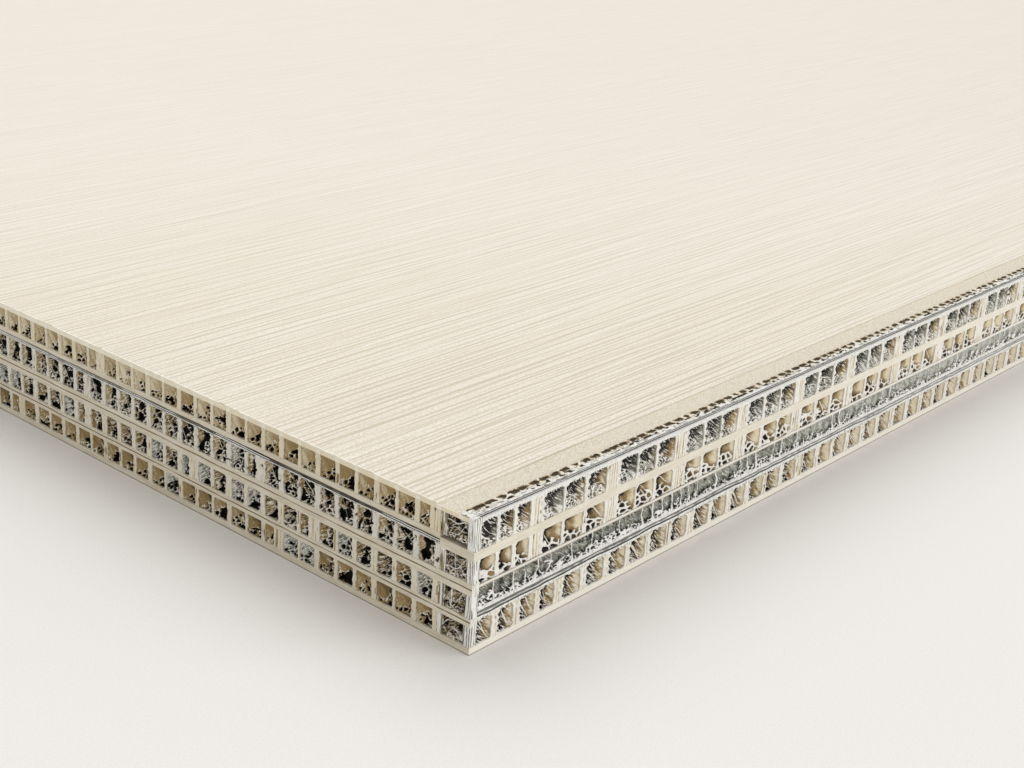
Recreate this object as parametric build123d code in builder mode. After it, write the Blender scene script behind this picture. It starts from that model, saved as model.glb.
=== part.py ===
from build123d import *
import os
from math import radians, sin, tan

os.makedirs("parts", exist_ok=True)

# A layered sandwich wall panel, lying flat with its facing up. X runs along the front edge, where the
# facing is trimmed back, and Y runs along the left edge. Both edges show the open cells of the cores.
# The origin is at the centre of the underside. All sizes are in millimetres.

# Plan
panel_length = 1170.0
panel_width = 800.0
edge_width = 12.8       # the build-up along the front edge
post_size = 2.7         # the upright paper bundles at the near corner
facing_setback = 14.6   # from the front edge to the trimmed edge of the facing
board_setback = 6.2     # from the front edge to the bare edge of the backing board
lip_setback = 1.8       # the foils of the lip lie this far behind its lowest paper
flute_width = 2.3       # the fluted paper beside the backing board

# Thicknesses of the main stack, from the bottom up
bottom_t = 2.2
core_4_h = 6.6
liner_3_lower_t = 1.4
liner_3_upper_t = 1.1
core_3_h = 7.1
liner_2_lower_t = 2.0
liner_2_upper_t = 1.6
core_2_h = 7.9
paper_1_low_t = 0.6
paper_1_mid_t = 0.3
foil_t = 0.3
liner_1_t = 1.8
core_1_h = 7.0
backing_t = 1.3
facing_t = 0.5

# Thicknesses of the front edge's own layers, from the bottom up; its top core fills what is left
edge_core_4_h = 7.9
edge_paper_3_low_t = 1.2
edge_foil_2_lower_t = 0.6
edge_paper_3_mid_t = 0.6
edge_paper_3_high_t = 0.8
edge_wool_h = 6.7
edge_liner_t = 1.2
edge_core_2_h = 7.7
edge_band_t = 2.8
lip_paper_low_t = 0.65
lip_paper_mid_t = 0.2

# Open cells
cell_depth = 5.0        # from the face to the back wall of a cell
cell_taper = 9.0        # degrees that a cell's side walls lean towards its back
left_pitch = 8.15       # all four tiers of the left edge share this grid
core_1_wall = 1.9
core_2_wall = 2.0
core_3_wall = 2.3
core_4_wall = 1.8
wide_wall = 2.4         # added to the wall beside a post on the left edge
front_pitch = 9.8
front_wall = 1.6
front_post = 5.0        # added after each group of cells in the two upper tiers of the front edge
front_group = 3
lead_pitch = 6.9        # the cells beside the corner cell are narrower and make a first, smaller group
lead_group = 2
low_pitch = 10.7        # lowest tier of the front edge
low_wall = 3.0
low_lead_pitch = 9.1
corner_cell = 6.2       # the cell at the corner, open on both edges
divider_wall = 2.2      # between the corner cell and the main stack
web_pitch = 24.6
web_t = 1.2
web_foot = 0.6
web_depth = 1.2
sway = 0.3              # how far the saw pushed the cells' centres off their grid

x_left, x_right = -panel_length / 2, panel_length / 2
y_front, y_back = -panel_width / 2, panel_width / 2
x_strip = x_left + post_size
y_strip = y_front + edge_width


def stack(base, layers):
    """Bottom and top of each layer, laid one on the other from a base height."""
    levels = {}
    for name, thickness in layers:
        levels[name] = (base, base + thickness)
        base += thickness
    return levels


main = stack(0, [
    ("bottom_sheet", bottom_t),
    ("core_4", core_4_h),
    ("liner_3_lower", liner_3_lower_t),
    ("liner_3_upper", liner_3_upper_t),
    ("core_3", core_3_h),
    ("liner_2_lower", liner_2_lower_t),
    ("liner_2_upper", liner_2_upper_t),
    ("core_2", core_2_h),
    ("paper_1_low", paper_1_low_t),
    ("foil_1_lower", foil_t),
    ("paper_1_mid", paper_1_mid_t),
    ("foil_1_upper", foil_t),
    ("liner_1", liner_1_t),
    ("core_1", core_1_h),
    ("backing_board", backing_t),
    ("facing_sheet", facing_t),
])
panel_top = main["facing_sheet"][1]
board_base = main["backing_board"][0]

edge = stack(main["bottom_sheet"][1], [
    ("edge_core_4", edge_core_4_h),
    ("edge_paper_3_low", edge_paper_3_low_t),
    ("edge_foil_2_lower", edge_foil_2_lower_t),
    ("edge_paper_3_mid", edge_paper_3_mid_t),
    ("edge_foil_2_upper", foil_t),
    ("edge_paper_3_high", edge_paper_3_high_t),
    ("edge_wool", edge_wool_h),
    ("edge_liner", edge_liner_t),
    ("edge_core_2", edge_core_2_h),
    ("edge_band", edge_band_t),
])
edge["edge_core_1"] = (edge["edge_band"][1], board_base)

lip = stack(board_base, [
    ("edge_paper_low", lip_paper_low_t),
    ("edge_foil_1_lower", foil_t),
    ("edge_paper_mid", lip_paper_mid_t),
    ("edge_foil_1_upper", foil_t),
])
lip_top = (lip["edge_foil_1_upper"][1], panel_top)


def area(x_min, y_min, x_max, y_max, mode=Mode.ADD):
    """A rectangle in the open sketch, given by two opposite corners."""
    with Locations(((x_min + x_max) / 2, (y_min + y_max) / 2)):
        Rectangle(x_max - x_min, y_max - y_min, mode=mode)


def save(part, name):
    """Name a finished piece and write its file."""
    part.label = name
    export_step(part, f"parts/{name}.step")


def left_cells(wall, group, phase):
    """Middle and mouth of each open cell of the left edge: one grid for all tiers, a wide wall here and there."""
    cells = []
    place = y_strip + wall
    while place + left_pitch < y_back:
        count = len(cells)
        extra = wide_wall if (count + phase) % group == 0 else 0
        mouth = left_pitch - wall - extra
        cells.append((place + extra + mouth / 2 + sway * sin(2.4 * count), mouth))
        place += left_pitch
    return cells


def front_cells(pitch, wall, group, post, lead_pitch, lead_group):
    """Middle and mouth of each open cell of the front edge: a group by the corner, then groups with posts."""
    cells = []
    place = x_strip + corner_cell + wall
    while place + pitch < x_right:
        count = len(cells)
        cell_pitch = lead_pitch if count < lead_group else pitch
        mouth = cell_pitch - wall
        cells.append((place + mouth / 2 + sway * sin(1.7 * count), mouth))
        place += cell_pitch + (post if (count + 1 - lead_group) % group == 0 else 0)
    return cells


def notches(cells):
    """The toothed side of a core: points along the edge, each with its distance behind the edge."""
    lean = cell_depth * tan(radians(cell_taper))
    points = []
    for middle, mouth in cells:
        half = mouth / 2
        points += [(middle - half, 0), (middle - half + lean, cell_depth)]
        points += [(middle + half - lean, cell_depth), (middle + half, 0)]
    return points


# Main cores: paper honeycomb, cut through its cells along the left edge
main_cells = {
    "core_1": left_cells(core_1_wall, 19, 0),
    "core_2": left_cells(core_2_wall, 11, 2),
    "core_3": left_cells(core_3_wall, 7, 1),
    "core_4": left_cells(core_4_wall, 17, 9),
}
for name, cells in main_cells.items():
    base, top = main[name]
    with BuildPart() as core:
        with BuildSketch(Plane.XY.offset(base)):
            with BuildLine():
                toothed = [(x_left + depth, y) for y, depth in notches(cells)]
                Polyline(
                    (x_right, y_strip), (x_left, y_strip), *toothed, (x_left, y_back), (x_right, y_back), close=True
                )
            make_face()
        extrude(amount=top - base)
    save(core.part, name)

# Sheets of the main stack that end at the front edge's build-up
for name in ("paper_1_low", "foil_1_lower", "paper_1_mid", "foil_1_upper", "liner_1"):
    base, top = main[name]
    with BuildPart() as sheet:
        with BuildSketch(Plane.XY.offset(base)):
            area(x_left, y_strip, x_right, y_back)
        extrude(amount=top - base)
    save(sheet.part, name)

# Liners that run on to the near corner, where they cover the ends of the corner posts
for name in ("liner_2_lower", "liner_2_upper", "liner_3_lower", "liner_3_upper"):
    base, top = main[name]
    with BuildPart() as liner:
        with BuildSketch(Plane.XY.offset(base)):
            area(x_left, y_strip, x_right, y_back)
            area(x_left, y_front, x_strip, y_strip)
        extrude(amount=top - base)
    save(liner.part, name)

# Bottom sheet: one board under everything
with BuildPart() as bottom_sheet:
    with BuildSketch(Plane.XY.offset(main["bottom_sheet"][0])):
        area(x_left, y_front, x_right, y_back)
    extrude(amount=bottom_t)
save(bottom_sheet.part, "bottom_sheet")

# Backing board: stops behind the torn lip of the front edge, and leaves room for the corner post
with BuildPart() as backing_board:
    with BuildSketch(Plane.XY.offset(board_base)):
        area(x_left, y_front, x_right, y_back)
        area(x_left, y_front, x_strip, y_front + post_size, mode=Mode.SUBTRACT)
        area(x_strip, y_front, x_right, y_front + board_setback, mode=Mode.SUBTRACT)
    extrude(amount=backing_t)
save(backing_board.part, "backing_board")

# Facing sheet: trimmed back from the front edge, so that the backing board lies bare there
with BuildPart() as facing_sheet:
    with BuildSketch(Plane.XY.offset(main["facing_sheet"][0])):
        area(x_left, y_front + facing_setback, x_right, y_back)
    extrude(amount=facing_t)
save(facing_sheet.part, "facing_sheet")

# Cores of the front edge: a corner cell open on both edges, then a row of cells with posts
upper_cells = front_cells(front_pitch, front_wall, front_group, front_post, lead_pitch, lead_group)
low_cells = front_cells(low_pitch, low_wall, front_group * 2, low_wall / 2, low_lead_pitch, front_group)
edge_cells = {"edge_core_1": upper_cells, "edge_core_2": upper_cells, "edge_core_4": low_cells}
for name, cells in edge_cells.items():
    base, top = edge[name]
    with BuildPart() as edge_core:
        with BuildSketch(Plane.XY.offset(base)):
            with BuildLine():
                toothed = [(x, y_front + depth) for x, depth in notches(cells)]
                Polyline(
                    (x_strip, y_strip), (x_strip, y_strip - divider_wall),
                    (x_strip + corner_cell, y_strip - divider_wall), (x_strip + corner_cell, y_front),
                    *toothed, (x_right, y_front), (x_right, y_strip), close=True,
                )
            make_face()
        extrude(amount=top - base)
    save(edge_core.part, name)

# Wool strip, and the thin torn webs that stand on their own foot in front of it
wool_base, wool_top = edge["edge_wool"]
with BuildPart() as edge_wool:
    with BuildSketch(Plane.XY.offset(wool_base)):
        area(x_strip, y_front + web_depth, x_right, y_strip)
    extrude(amount=wool_top - wool_base)
save(edge_wool.part, "edge_wool")

web_count = int((x_right - x_strip) / web_pitch)
web_places = [(x_strip + web_pitch * (k + 0.5), (wool_base + wool_top) / 2) for k in range(web_count)]
with BuildPart() as edge_web:
    with BuildSketch(Plane.XZ.offset(-(y_front + web_depth))):
        area(x_strip, wool_base, x_right, wool_base + web_foot)
        with Locations(*web_places):
            Rectangle(web_t, wool_top - wool_base)
    extrude(amount=web_depth)
save(edge_web.part, "edge_web")

# Papers, foils and the thin liner of the front edge
for name in (
    "edge_paper_3_low", "edge_foil_2_lower", "edge_paper_3_mid", "edge_foil_2_upper", "edge_paper_3_high",
    "edge_liner",
):
    base, top = edge[name]
    with BuildPart() as strip:
        with BuildSketch(Plane.XY.offset(base)):
            area(x_strip, y_front, x_right, y_strip)
        extrude(amount=top - base)
    save(strip.part, name)

# Edge band: the smooth board that also closes the corner
with BuildPart() as edge_band:
    with BuildSketch(Plane.XY.offset(edge["edge_band"][0])):
        area(x_left, y_front, x_right, y_strip)
    extrude(amount=edge_band_t)
save(edge_band.part, "edge_band")

# Torn lip in front of the backing board: paper, foil, paper, foil, then paper and fluted paper side by side
for name, (base, top) in lip.items():
    lip_front = y_front if name == "edge_paper_low" else y_front + lip_setback
    with BuildPart() as lip_strip:
        with BuildSketch(Plane.XY.offset(base)):
            area(x_strip, lip_front, x_right, y_front + board_setback)
        extrude(amount=top - base)
    save(lip_strip.part, name)

y_flute = y_front + board_setback - flute_width
with BuildPart() as edge_paper_top:
    with BuildSketch(Plane.XY.offset(lip_top[0])):
        area(x_strip, y_front + lip_setback, x_right, y_flute)
    extrude(amount=lip_top[1] - lip_top[0])
save(edge_paper_top.part, "edge_paper_top")

with BuildPart() as edge_flute:
    with BuildSketch(Plane.XY.offset(lip_top[0])):
        area(x_strip, y_flute, x_right, y_front + board_setback)
    extrude(amount=lip_top[1] - lip_top[0])
save(edge_flute.part, "edge_flute")

# Corner posts: a bundle of upright paper strips in each tier, grooved on the two faces that show
post_spans = {
    "corner_post_1": (edge["edge_band"][1], panel_top),
    "corner_post_2": (main["liner_2_upper"][1], edge["edge_band"][0]),
    "corner_post_3": (main["liner_3_upper"][1], main["liner_2_lower"][0]),
    "corner_post_4": (main["bottom_sheet"][1], main["liner_3_lower"][0]),
}
groove_places = [post_size * share for share in (0.35, 0.7)]
groove = post_size * 0.12
for name, (base, top) in post_spans.items():
    with BuildPart() as post:
        with BuildSketch(Plane.XY.offset(base)):
            area(x_left, y_front, x_strip, y_front + post_size)
            with Locations(*[(x_left + place, y_front) for place in groove_places]):
                Rectangle(groove, groove * 2, mode=Mode.SUBTRACT)
            with Locations(*[(x_left, y_front + place) for place in groove_places]):
                Rectangle(groove * 2, groove, mode=Mode.SUBTRACT)
        extrude(amount=top - base)
    save(post.part, name)
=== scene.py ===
# %% [markdown]
# # A cut corner of a sandwich wall panel
#
# The panel is a stack of boards, papers, thin metal foils and four tiers of paper honeycomb. A saw has opened
# the cells along two edges and left them torn. The packed model gives every layer its place, and this
# notebook gives the layers their surface: first the measures, then a few tools, then the pieces one after
# another, and last the studio. Each cell prints what it made, so it can be followed step by step.

# %% Load the packed model
import math
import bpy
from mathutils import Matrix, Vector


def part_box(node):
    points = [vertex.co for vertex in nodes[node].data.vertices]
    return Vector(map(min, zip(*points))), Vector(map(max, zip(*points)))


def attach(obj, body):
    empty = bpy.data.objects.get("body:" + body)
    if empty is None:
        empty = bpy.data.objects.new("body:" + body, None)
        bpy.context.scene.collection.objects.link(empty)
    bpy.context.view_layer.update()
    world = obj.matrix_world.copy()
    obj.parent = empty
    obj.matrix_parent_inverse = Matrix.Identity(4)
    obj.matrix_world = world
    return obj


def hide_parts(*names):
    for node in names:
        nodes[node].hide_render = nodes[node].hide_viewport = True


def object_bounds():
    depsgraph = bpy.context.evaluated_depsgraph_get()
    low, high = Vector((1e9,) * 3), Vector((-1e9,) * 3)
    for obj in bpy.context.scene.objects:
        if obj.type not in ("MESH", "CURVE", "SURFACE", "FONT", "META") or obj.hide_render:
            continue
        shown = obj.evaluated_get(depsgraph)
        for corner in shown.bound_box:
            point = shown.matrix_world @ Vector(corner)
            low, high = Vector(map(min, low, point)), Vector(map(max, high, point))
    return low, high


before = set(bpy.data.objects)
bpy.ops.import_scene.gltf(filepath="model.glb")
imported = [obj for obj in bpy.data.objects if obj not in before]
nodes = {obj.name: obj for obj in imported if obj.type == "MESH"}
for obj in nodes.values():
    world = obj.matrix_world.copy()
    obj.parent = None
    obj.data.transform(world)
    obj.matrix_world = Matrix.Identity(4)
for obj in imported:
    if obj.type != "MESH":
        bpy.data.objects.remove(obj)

from types import SimpleNamespace

import bpy
import numpy as np
from mathutils import Matrix, Vector

low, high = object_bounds()
print("model", [round(x, 4) for x in low], "to", [round(x, 4) for x in high], "nodes", len(nodes))

# %% [markdown]
# ## Measures
#
# Blender works in metres from the middle of the panel. Layers of half a millimetre are easier to think about
# in millimetres from the near bottom corner, where the two open edges meet: X runs along the front edge, Y
# along the left edge and Z up. The places could be typed in here, but then a new size in the model would
# leave them behind. So everything that follows asks the model.

# %% Millimetres from the near corner
FRONT, LEFT, MM = 0, 1, 1000.0
corner = np.array(low)
length, width, thick = (np.array(high) - corner) * MM


def span(node, axis):
    """Where a node begins and ends along an axis."""
    first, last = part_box(node)
    return (first[axis] - corner[axis]) * MM, (last[axis] - corner[axis]) * MM


def spans(node):
    """Where a node begins and ends along X, Y and Z."""
    return [span(node, axis) for axis in (0, 1, 2)]


def mouths(node, along):
    """Both sides of each open cell of a core, read from the model's own corners on the cut face."""
    places = (np.array([v.co for v in nodes[node].data.vertices]) - corner) * MM
    on_face = np.unique(places[places[:, 1 - along] < 1e-3, along].round(3))
    start = span(node, along)[0]
    corner_cell = [start, on_face[0]] if on_face[0] > start + 1 else []
    return np.array([*corner_cell, *on_face[1:-1]]).reshape(-1, 2)


print(f"panel {length:.1f} x {width:.1f} x {thick:.1f} mm")
print("open cells", {name: len(mouths(name, int("edge" not in name))) for name in nodes if "core" in name})

# %% [markdown]
# ## Noise
#
# Torn paper has no straight line in it, so nearly every shape below leans on noise. Blender's noise textures
# could push a mesh about with a modifier, but they can't cut holes in it. These sheets are worked out as
# arrays of numbers, and two kinds of noise are enough: smooth hills, and scattered points whose borders make
# a net of pores. Both come from whole numbers mixed into a fixed random value, so each run gives the same
# panel.


# %% Repeatable noise
def dice(i, j=0, seed=0):
    """A fixed random number from 0 to 1 for each pair of whole numbers."""
    i, j = np.asarray(i, np.int64), np.asarray(j, np.int64)
    mixed = (i * 374761393 + j * 668265263 + seed * 69069) & 0xFFFFFFFF
    mixed = ((mixed ^ (mixed >> 13)) * 1274126177) & 0xFFFFFFFF
    return ((mixed ^ (mixed >> 16)) & 0xFFFF) / 65535


def hills(x, y, seed=0):
    """Smooth noise from 0 to 1, one hill or hollow a unit."""
    i, j = np.floor(x), np.floor(y)
    u, v = x - i, y - j
    u, v = u * u * (3 - 2 * u), v * v * (3 - 2 * v)
    near = dice(i, j, seed) * (1 - u) + dice(i + 1, j, seed) * u
    far = dice(i, j + 1, seed) * (1 - u) + dice(i + 1, j + 1, seed) * u
    return near * (1 - v) + far * v


def pores(x, y, seed=0):
    """Distance from the nearest border between scattered points, about 0.5 in the middle of a pore."""
    first = np.full(np.shape(x), 9.0)
    second = first.copy()
    for a in (-1, 0, 1):
        for b in (-1, 0, 1):
            i, j = np.floor(x) + a, np.floor(y) + b
            away = np.hypot(i + dice(i, j, seed) - x, j + dice(i, j, seed + 1) - y)
            second = np.minimum(second, np.maximum(first, away))
            first = np.minimum(first, away)
    return (second - first) / 2


def step(x, start, stop):
    """0 before start, 1 after stop, and a soft change between them."""
    t = np.clip((x - start) / (stop - start), 0, 1)
    return t * t * (3 - 2 * t)


print("noise at (0.5, 0.5):", float(hills(np.array(0.5), np.array(0.5)).round(3)))

# %% [markdown]
# ## Cutting torn sheets
#
# A torn sheet could be cut from a solid with Boolean modifiers, which is slow for thousands of holes, or be a
# plane with a see-through material, which has no thickness. Here one tool makes nearly all the torn paper. It
# lays a grid over a face and keeps the part where a field is above zero. Where the field changes sign inside
# a square, the square is cut along the line of zero, so holes and ragged edges come out smooth. Behind each
# cut edge a few rings go back into the panel and give the paper its thickness.
#
# Each point also carries three numbers that the materials read, its look: how light the paper is, its own tone
# together with painted light and shade, how grey, and how torn. A sheet is made on one of three sides, the left
# edge, the front edge or the top, or round the corner.


# %% Sides of the panel
def left(s, z, depth):
    """A place on the left edge: s along it from the corner, z up, and the depth behind the cut."""
    return np.stack([depth, s, z], 1)


def front(s, z, depth):
    """A place on the front edge."""
    return np.stack([s, depth, z], 1)


def above(s, y, depth):
    """A place on the top, with the depth below it."""
    return np.stack([s, y, thick - depth], 1)


def around(t, z, depth):
    """A place that runs round the near corner: t is below zero on the left edge and above it on the front."""
    return np.stack([np.maximum(depth, t), np.maximum(depth, -t), z], 1)


def outward(side, faces):
    """Faces that look out of the panel: those of the left edge are turned round."""
    return [face[::-1] for face in faces] if side is left else faces


one_place = left(np.array([10.0]), np.array([5.0]), np.array([0.2]))
print("10 mm along the left edge, 5 mm up and 0.2 mm behind the cut:", one_place[0])


# %% Grids
def grid(s, t):
    """The places of all the points of a grid, as two arrays."""
    return np.meshgrid(s, t, indexing="ij")


def squares_of(number):
    """The four corners of each square of a grid of numbers."""
    return np.stack([number[:-1, :-1], number[1:, :-1], number[1:, 1:], number[:-1, 1:]], -1)


def lines(start, stop, gap, growth=0.0):
    """Grid lines from start to stop whose spacing grows with the distance from the corner."""
    places = [start]
    while places[-1] + 1.6 * (gap + growth * places[-1]) < stop:
        places.append(places[-1] + gap + growth * places[-1])
    return np.array(places + [stop])


coarse = 1
print("grid lines on 100 mm of the front edge:", len(lines(0, 100, 0.3 * coarse, 0.0009)))


# %% The cutting tool
def cut_sheet(side, s, z, keep, depth, look, rings=()):
    """Points, looks and faces of the part of a grid where keep is above zero.

    Each ring behind the cut edge says how far it lies behind the edge, how far it moves inward, and what its
    light and its tear are multiplied by.
    """
    n, m = keep.shape
    lean_s, lean_z = np.gradient(keep, s, z)
    steep = np.hypot(lean_s, lean_z) + 1e-9
    fields = (*grid(s, z), depth, *look, lean_s / steep, lean_z / steep)
    rows = [np.stack([np.broadcast_to(f, keep.shape) for f in fields], -1).reshape(n * m, 8)]
    value, number, inside = keep.ravel(), np.arange(n * m).reshape(n, m), keep > 0

    # A new point wherever the field changes sign between two neighbours, along s and then along z
    count, found = n * m, []
    for one, two in ((number[:-1], number[1:]), (number[:, :-1], number[:, 1:])):
        hit = (value[one] > 0) != (value[two] > 0)
        a, b = one[hit], two[hit]
        share = (value[a] / (value[a] - value[b]))[:, None]
        rows.append(rows[0][a] * (1 - share) + rows[0][b] * share)
        index = np.full(one.shape, -1)
        index[hit] = count + np.arange(len(a))
        count += len(a)
        found.append(index)

    # Whole squares stay as they are, and a crossed square keeps its points inside and its new points
    squares = squares_of(number)
    sums = inside.ravel()[squares].sum(-1)
    faces, seams = squares[sums == 4].tolist(), []
    for i, j in zip(*np.nonzero((sums > 0) & (sums < 4))):
        corners = ((i, j), (i + 1, j), (i + 1, j + 1), (i, j + 1))
        cuts = (found[0][i, j], found[1][i + 1, j], found[0][i, j + 1], found[1][i, j])
        ring = []
        for spot, cut in zip(corners, cuts):
            if inside[spot]:
                ring.append((number[spot], False))
            if cut >= 0:
                ring.append((cut, True))
        faces.append([k for k, _ in ring])
        seams += [(a, b) for (a, p), (b, q) in zip(ring, ring[1:] + ring[:1]) if p and q]

    # Rings behind the cut edge, each joined to the one before. A ring's light factor paints the walls of a cut
    # darker further in, as painted shade.
    edge, shift = np.concatenate(rows[1:]), 0
    for drop, inward, light, torn in rings if len(edge) else ():
        ring = edge.copy()
        ring[:, 0] -= inward * edge[:, 6]
        ring[:, 1] -= inward * edge[:, 7]
        ring[:, 2] += drop
        ring[:, 3] *= light
        ring[:, 5] *= torn
        rows.append(ring)
        move = count - n * m - shift
        faces += [[b + shift, a + shift, a + shift + move, b + shift + move] for a, b in seams]
        shift += move
        count += len(ring)
    points = np.concatenate(rows)
    return side(*points[:, :3].T), points[:, 3:6], outward(side, faces)


places = np.linspace(-3, 3, 13)
disc = cut_sheet(front, places, places, 2 - np.hypot(*grid(places, places)), 0.0, (1, 0, 0))
print("a disc of 2 mm, cut from a grid of 0.5 mm:", len(disc[2]), "faces")


# %% [markdown]
# Parts that need no holes are simpler: a relief is a whole grid with side walls, a block is a plain box, and
# a slab is a block that lies behind one of the two open edges.


# %% Reliefs and blocks
def padded(values, side_depth=None):
    """Repeat the outer points of a grid, to hang a side wall on them."""
    return np.pad(values, 1, "edge") if side_depth is None else np.pad(values, 1, constant_values=side_depth)


def relief(side, across, up, depth, look, back):
    """A sheet with a relief, and side walls that reach back to a depth."""
    n, m = depth.shape
    looks = np.stack([padded(np.broadcast_to(x, (n, m))) for x in look], -1)
    faces = squares_of(np.arange((n + 2) * (m + 2)).reshape(n + 2, m + 2)).reshape(-1, 4).tolist()
    points = side(padded(across).ravel(), padded(up).ravel(), padded(depth, back).ravel())
    return points, looks.reshape(-1, 3), outward(side, faces)


def block(x0, x1, y0, y1, z0, z1, look):
    """A plain box with one look, for the part of a layer that lies behind its torn front."""
    points = np.array([(x, y, z) for x in (x0, x1) for y in (y0, y1) for z in (z0, z1)], float)
    faces = [[0, 1, 3, 2], [4, 6, 7, 5], [0, 4, 5, 1], [2, 3, 7, 6], [0, 2, 6, 4], [1, 5, 7, 3]]
    return points, np.tile(look, (8, 1)), faces


def slab(along, first, last, near, far, base, top, look):
    """A block behind an open edge, from a near depth to a far one."""
    return block(*((near, far, first, last) if along else (first, last, near, far)), base, top, look)


behind = slab(LEFT, 0, 100, 3, 4, 0, 10, (0, 0, 0))
print("a slab behind the left edge reaches to", behind[0].max(0), "and has", len(behind[2]), "faces")


# %% [markdown]
# The last tool joins the parts of a layer into one Blender object, ties it to the panel and hides the node of
# the model that it stands for. Points are clipped to the panel's box, so that no fibre makes the panel larger.


# %% Pieces
sharp_angle = 0.9


def piece(name, parts, material, slot, *stands_for):
    """Join parts into one object that belongs to the panel."""
    sizes = [len(face) for _, _, faces in parts for face in faces]
    starts = np.cumsum([0] + [len(points) for points, _, _ in parts])
    flat = np.concatenate([np.concatenate(part[2]) + at for part, at in zip(parts, starts) if part[2]])
    used, flat = np.unique(flat, return_inverse=True)
    points, looks = (np.concatenate([part[k] for part in parts])[used] for k in (0, 1))
    points = np.clip(points, 0, (length, width, thick)) / MM + corner
    mesh = bpy.data.meshes.new(name)
    mesh.vertices.add(len(points))
    mesh.vertices.foreach_set("co", points.astype(np.float32).ravel())
    mesh.loops.add(len(flat))
    mesh.loops.foreach_set("vertex_index", flat.astype(np.int32))
    mesh.polygons.add(len(sizes))
    mesh.polygons.foreach_set("loop_start", np.cumsum([0] + sizes[:-1]).astype(np.int32))
    look = mesh.attributes.new("look", "FLOAT_VECTOR", "POINT")
    look.data.foreach_set("vector", looks.astype(np.float32).ravel())
    mesh.update(calc_edges=True)
    mesh.validate()
    mesh.polygons.foreach_set("use_smooth", [True] * len(mesh.polygons))
    mesh.set_sharp_from_angle(angle=sharp_angle)
    mesh.materials.append(material)
    made = bpy.data.objects.new(name, mesh)
    bpy.context.scene.collection.objects.link(made)
    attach(made, "root")
    if stands_for:
        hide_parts(*stands_for)
    print(f"{name}: {sum(sizes) - 2 * len(sizes)} triangles")


print("edges are shaded sharp from", round(math.degrees(sharp_angle)), "degrees")


# %% [markdown]
# ## A short way to write materials
#
# Blender's materials are graphs of nodes. Drawn by hand or written out link by link they are hard to read, so
# a small class wraps one output of the graph. A plus or a times between two of them adds the Math node that
# does the same sum, and one method adds any other node from its type, its settings and the values or links of
# its sockets.


# %% Wires
def is_number(x):
    """Whether x is a number, or an output that carries one, and not a colour or a vector."""
    return x.socket.type == "VALUE" if isinstance(x, Wire) else not isinstance(x, tuple)


class Wire:
    """One output of a material's node."""

    def __init__(self, tree, socket):
        self.tree, self.socket = tree, socket

    def node(self, kind, settings, inputs, out=0):
        """Add a node by its type. Settings go first, because they can change the sockets."""
        made = self.tree.nodes.new(f"ShaderNode{kind}")
        for key, value in settings.items():
            setattr(made, key, value)
        for key, value in inputs.items():
            if isinstance(value, Wire):
                self.tree.links.new(value.socket, made.inputs[key])
            else:
                made.inputs[key].default_value = value
        return Wire(self.tree, made.outputs[out])

    def sum(self, how, one, two=0.0):
        """A Math node for values, or a Vector Math node where one of them is a colour or a vector."""
        if is_number(one) and is_number(two):
            return self.node("Math", {"operation": how}, {0: one, 1: two})
        one, two = ((x,) * 3 if isinstance(x, (int, float)) else x for x in (one, two))
        return self.node("VectorMath", {"operation": how}, {0: one, 1: two})

    def __add__(self, other):
        return self.sum("ADD", self, other)

    def __radd__(self, other):
        return self.sum("ADD", other, self)

    def __sub__(self, other):
        return self.sum("SUBTRACT", self, other)

    def __rsub__(self, other):
        return self.sum("SUBTRACT", other, self)

    def __mul__(self, other):
        return self.sum("MULTIPLY", self, other)

    def __rmul__(self, other):
        return self.sum("MULTIPLY", other, self)

    def __abs__(self):
        return self.sum("ABSOLUTE", self)

    def fraction(self):
        """What this value has above the last whole number."""
        return self.sum("FRACT", self)

    def part(self, axis):
        """One of the three numbers of a vector."""
        return self.node("SeparateXYZ", {}, {0: self}, axis)

    def ramp(self, start, stop, first=0.0, last=1.0):
        """From first to last while this value goes from start to stop, softly."""
        inputs = {0: self, 1: start, 2: stop, 3: first, 4: last}
        return self.node("MapRange", {"interpolation_type": "SMOOTHSTEP"}, inputs)

    def mix(self, first, second):
        """From the first colour to the second as this value goes from 0 to 1."""
        return self.node("Mix", {"data_type": "RGBA"}, {0: self, 6: first, 7: second}, 2)

    def noise(self, stretch, detail=3.0, rough=0.55):
        """Noise at this place. Stretch is how many features there are in a millimetre along each axis."""
        inputs = {"Vector": self * stretch, "Scale": 1.0, "Detail": detail, "Roughness": rough}
        return self.node("TexNoise", {}, inputs)


print("a wire can:", ", ".join(name for name in vars(Wire) if not name.startswith("_")))


# %% Colours and materials
def tone(red, green, blue):
    """A colour as it looks on a screen, 0 to 255, as the linear numbers that Blender works with."""
    return tuple(((c / 255 + 0.055) / 1.055) ** 2.4 for c in (red, green, blue)) + (1.0,)


def finish(name, paint):
    """A material. Paint gets the place in millimetres and the look, and returns the shader's inputs."""
    made = bpy.data.materials.new(name)
    made.use_nodes = True
    tree = made.node_tree
    tree.nodes.clear()
    start = Wire(tree, None)
    place = start.node("TexCoord", {}, {}, "Object") * MM
    look = start.node("Attribute", {"attribute_name": "look"}, {}, "Vector")
    inputs = paint(place, look)
    if "height" in inputs:
        height, rise = inputs.pop("height")
        inputs["Normal"] = start.node("Bump", {}, {"Height": height, "Strength": 1.0, "Distance": rise / MM})
    shader = start.node("BsdfPrincipled", {}, inputs)
    output = tree.nodes.new("ShaderNodeOutputMaterial")
    tree.links.new(shader.socket, output.inputs["Surface"])
    print("material", name, len(tree.nodes), "nodes")
    return made


def behind_left(place):
    """How far a place lies behind the cut of the left edge. Places in a material count from the middle."""
    return place.part(0) + length / 2


def behind_front(place):
    """How far a place lies behind the cut of the front edge."""
    return place.part(1) + width / 2


print("the grey 128 of a screen is", round(tone(128, 128, 128)[0], 3), "in Blender")


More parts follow.
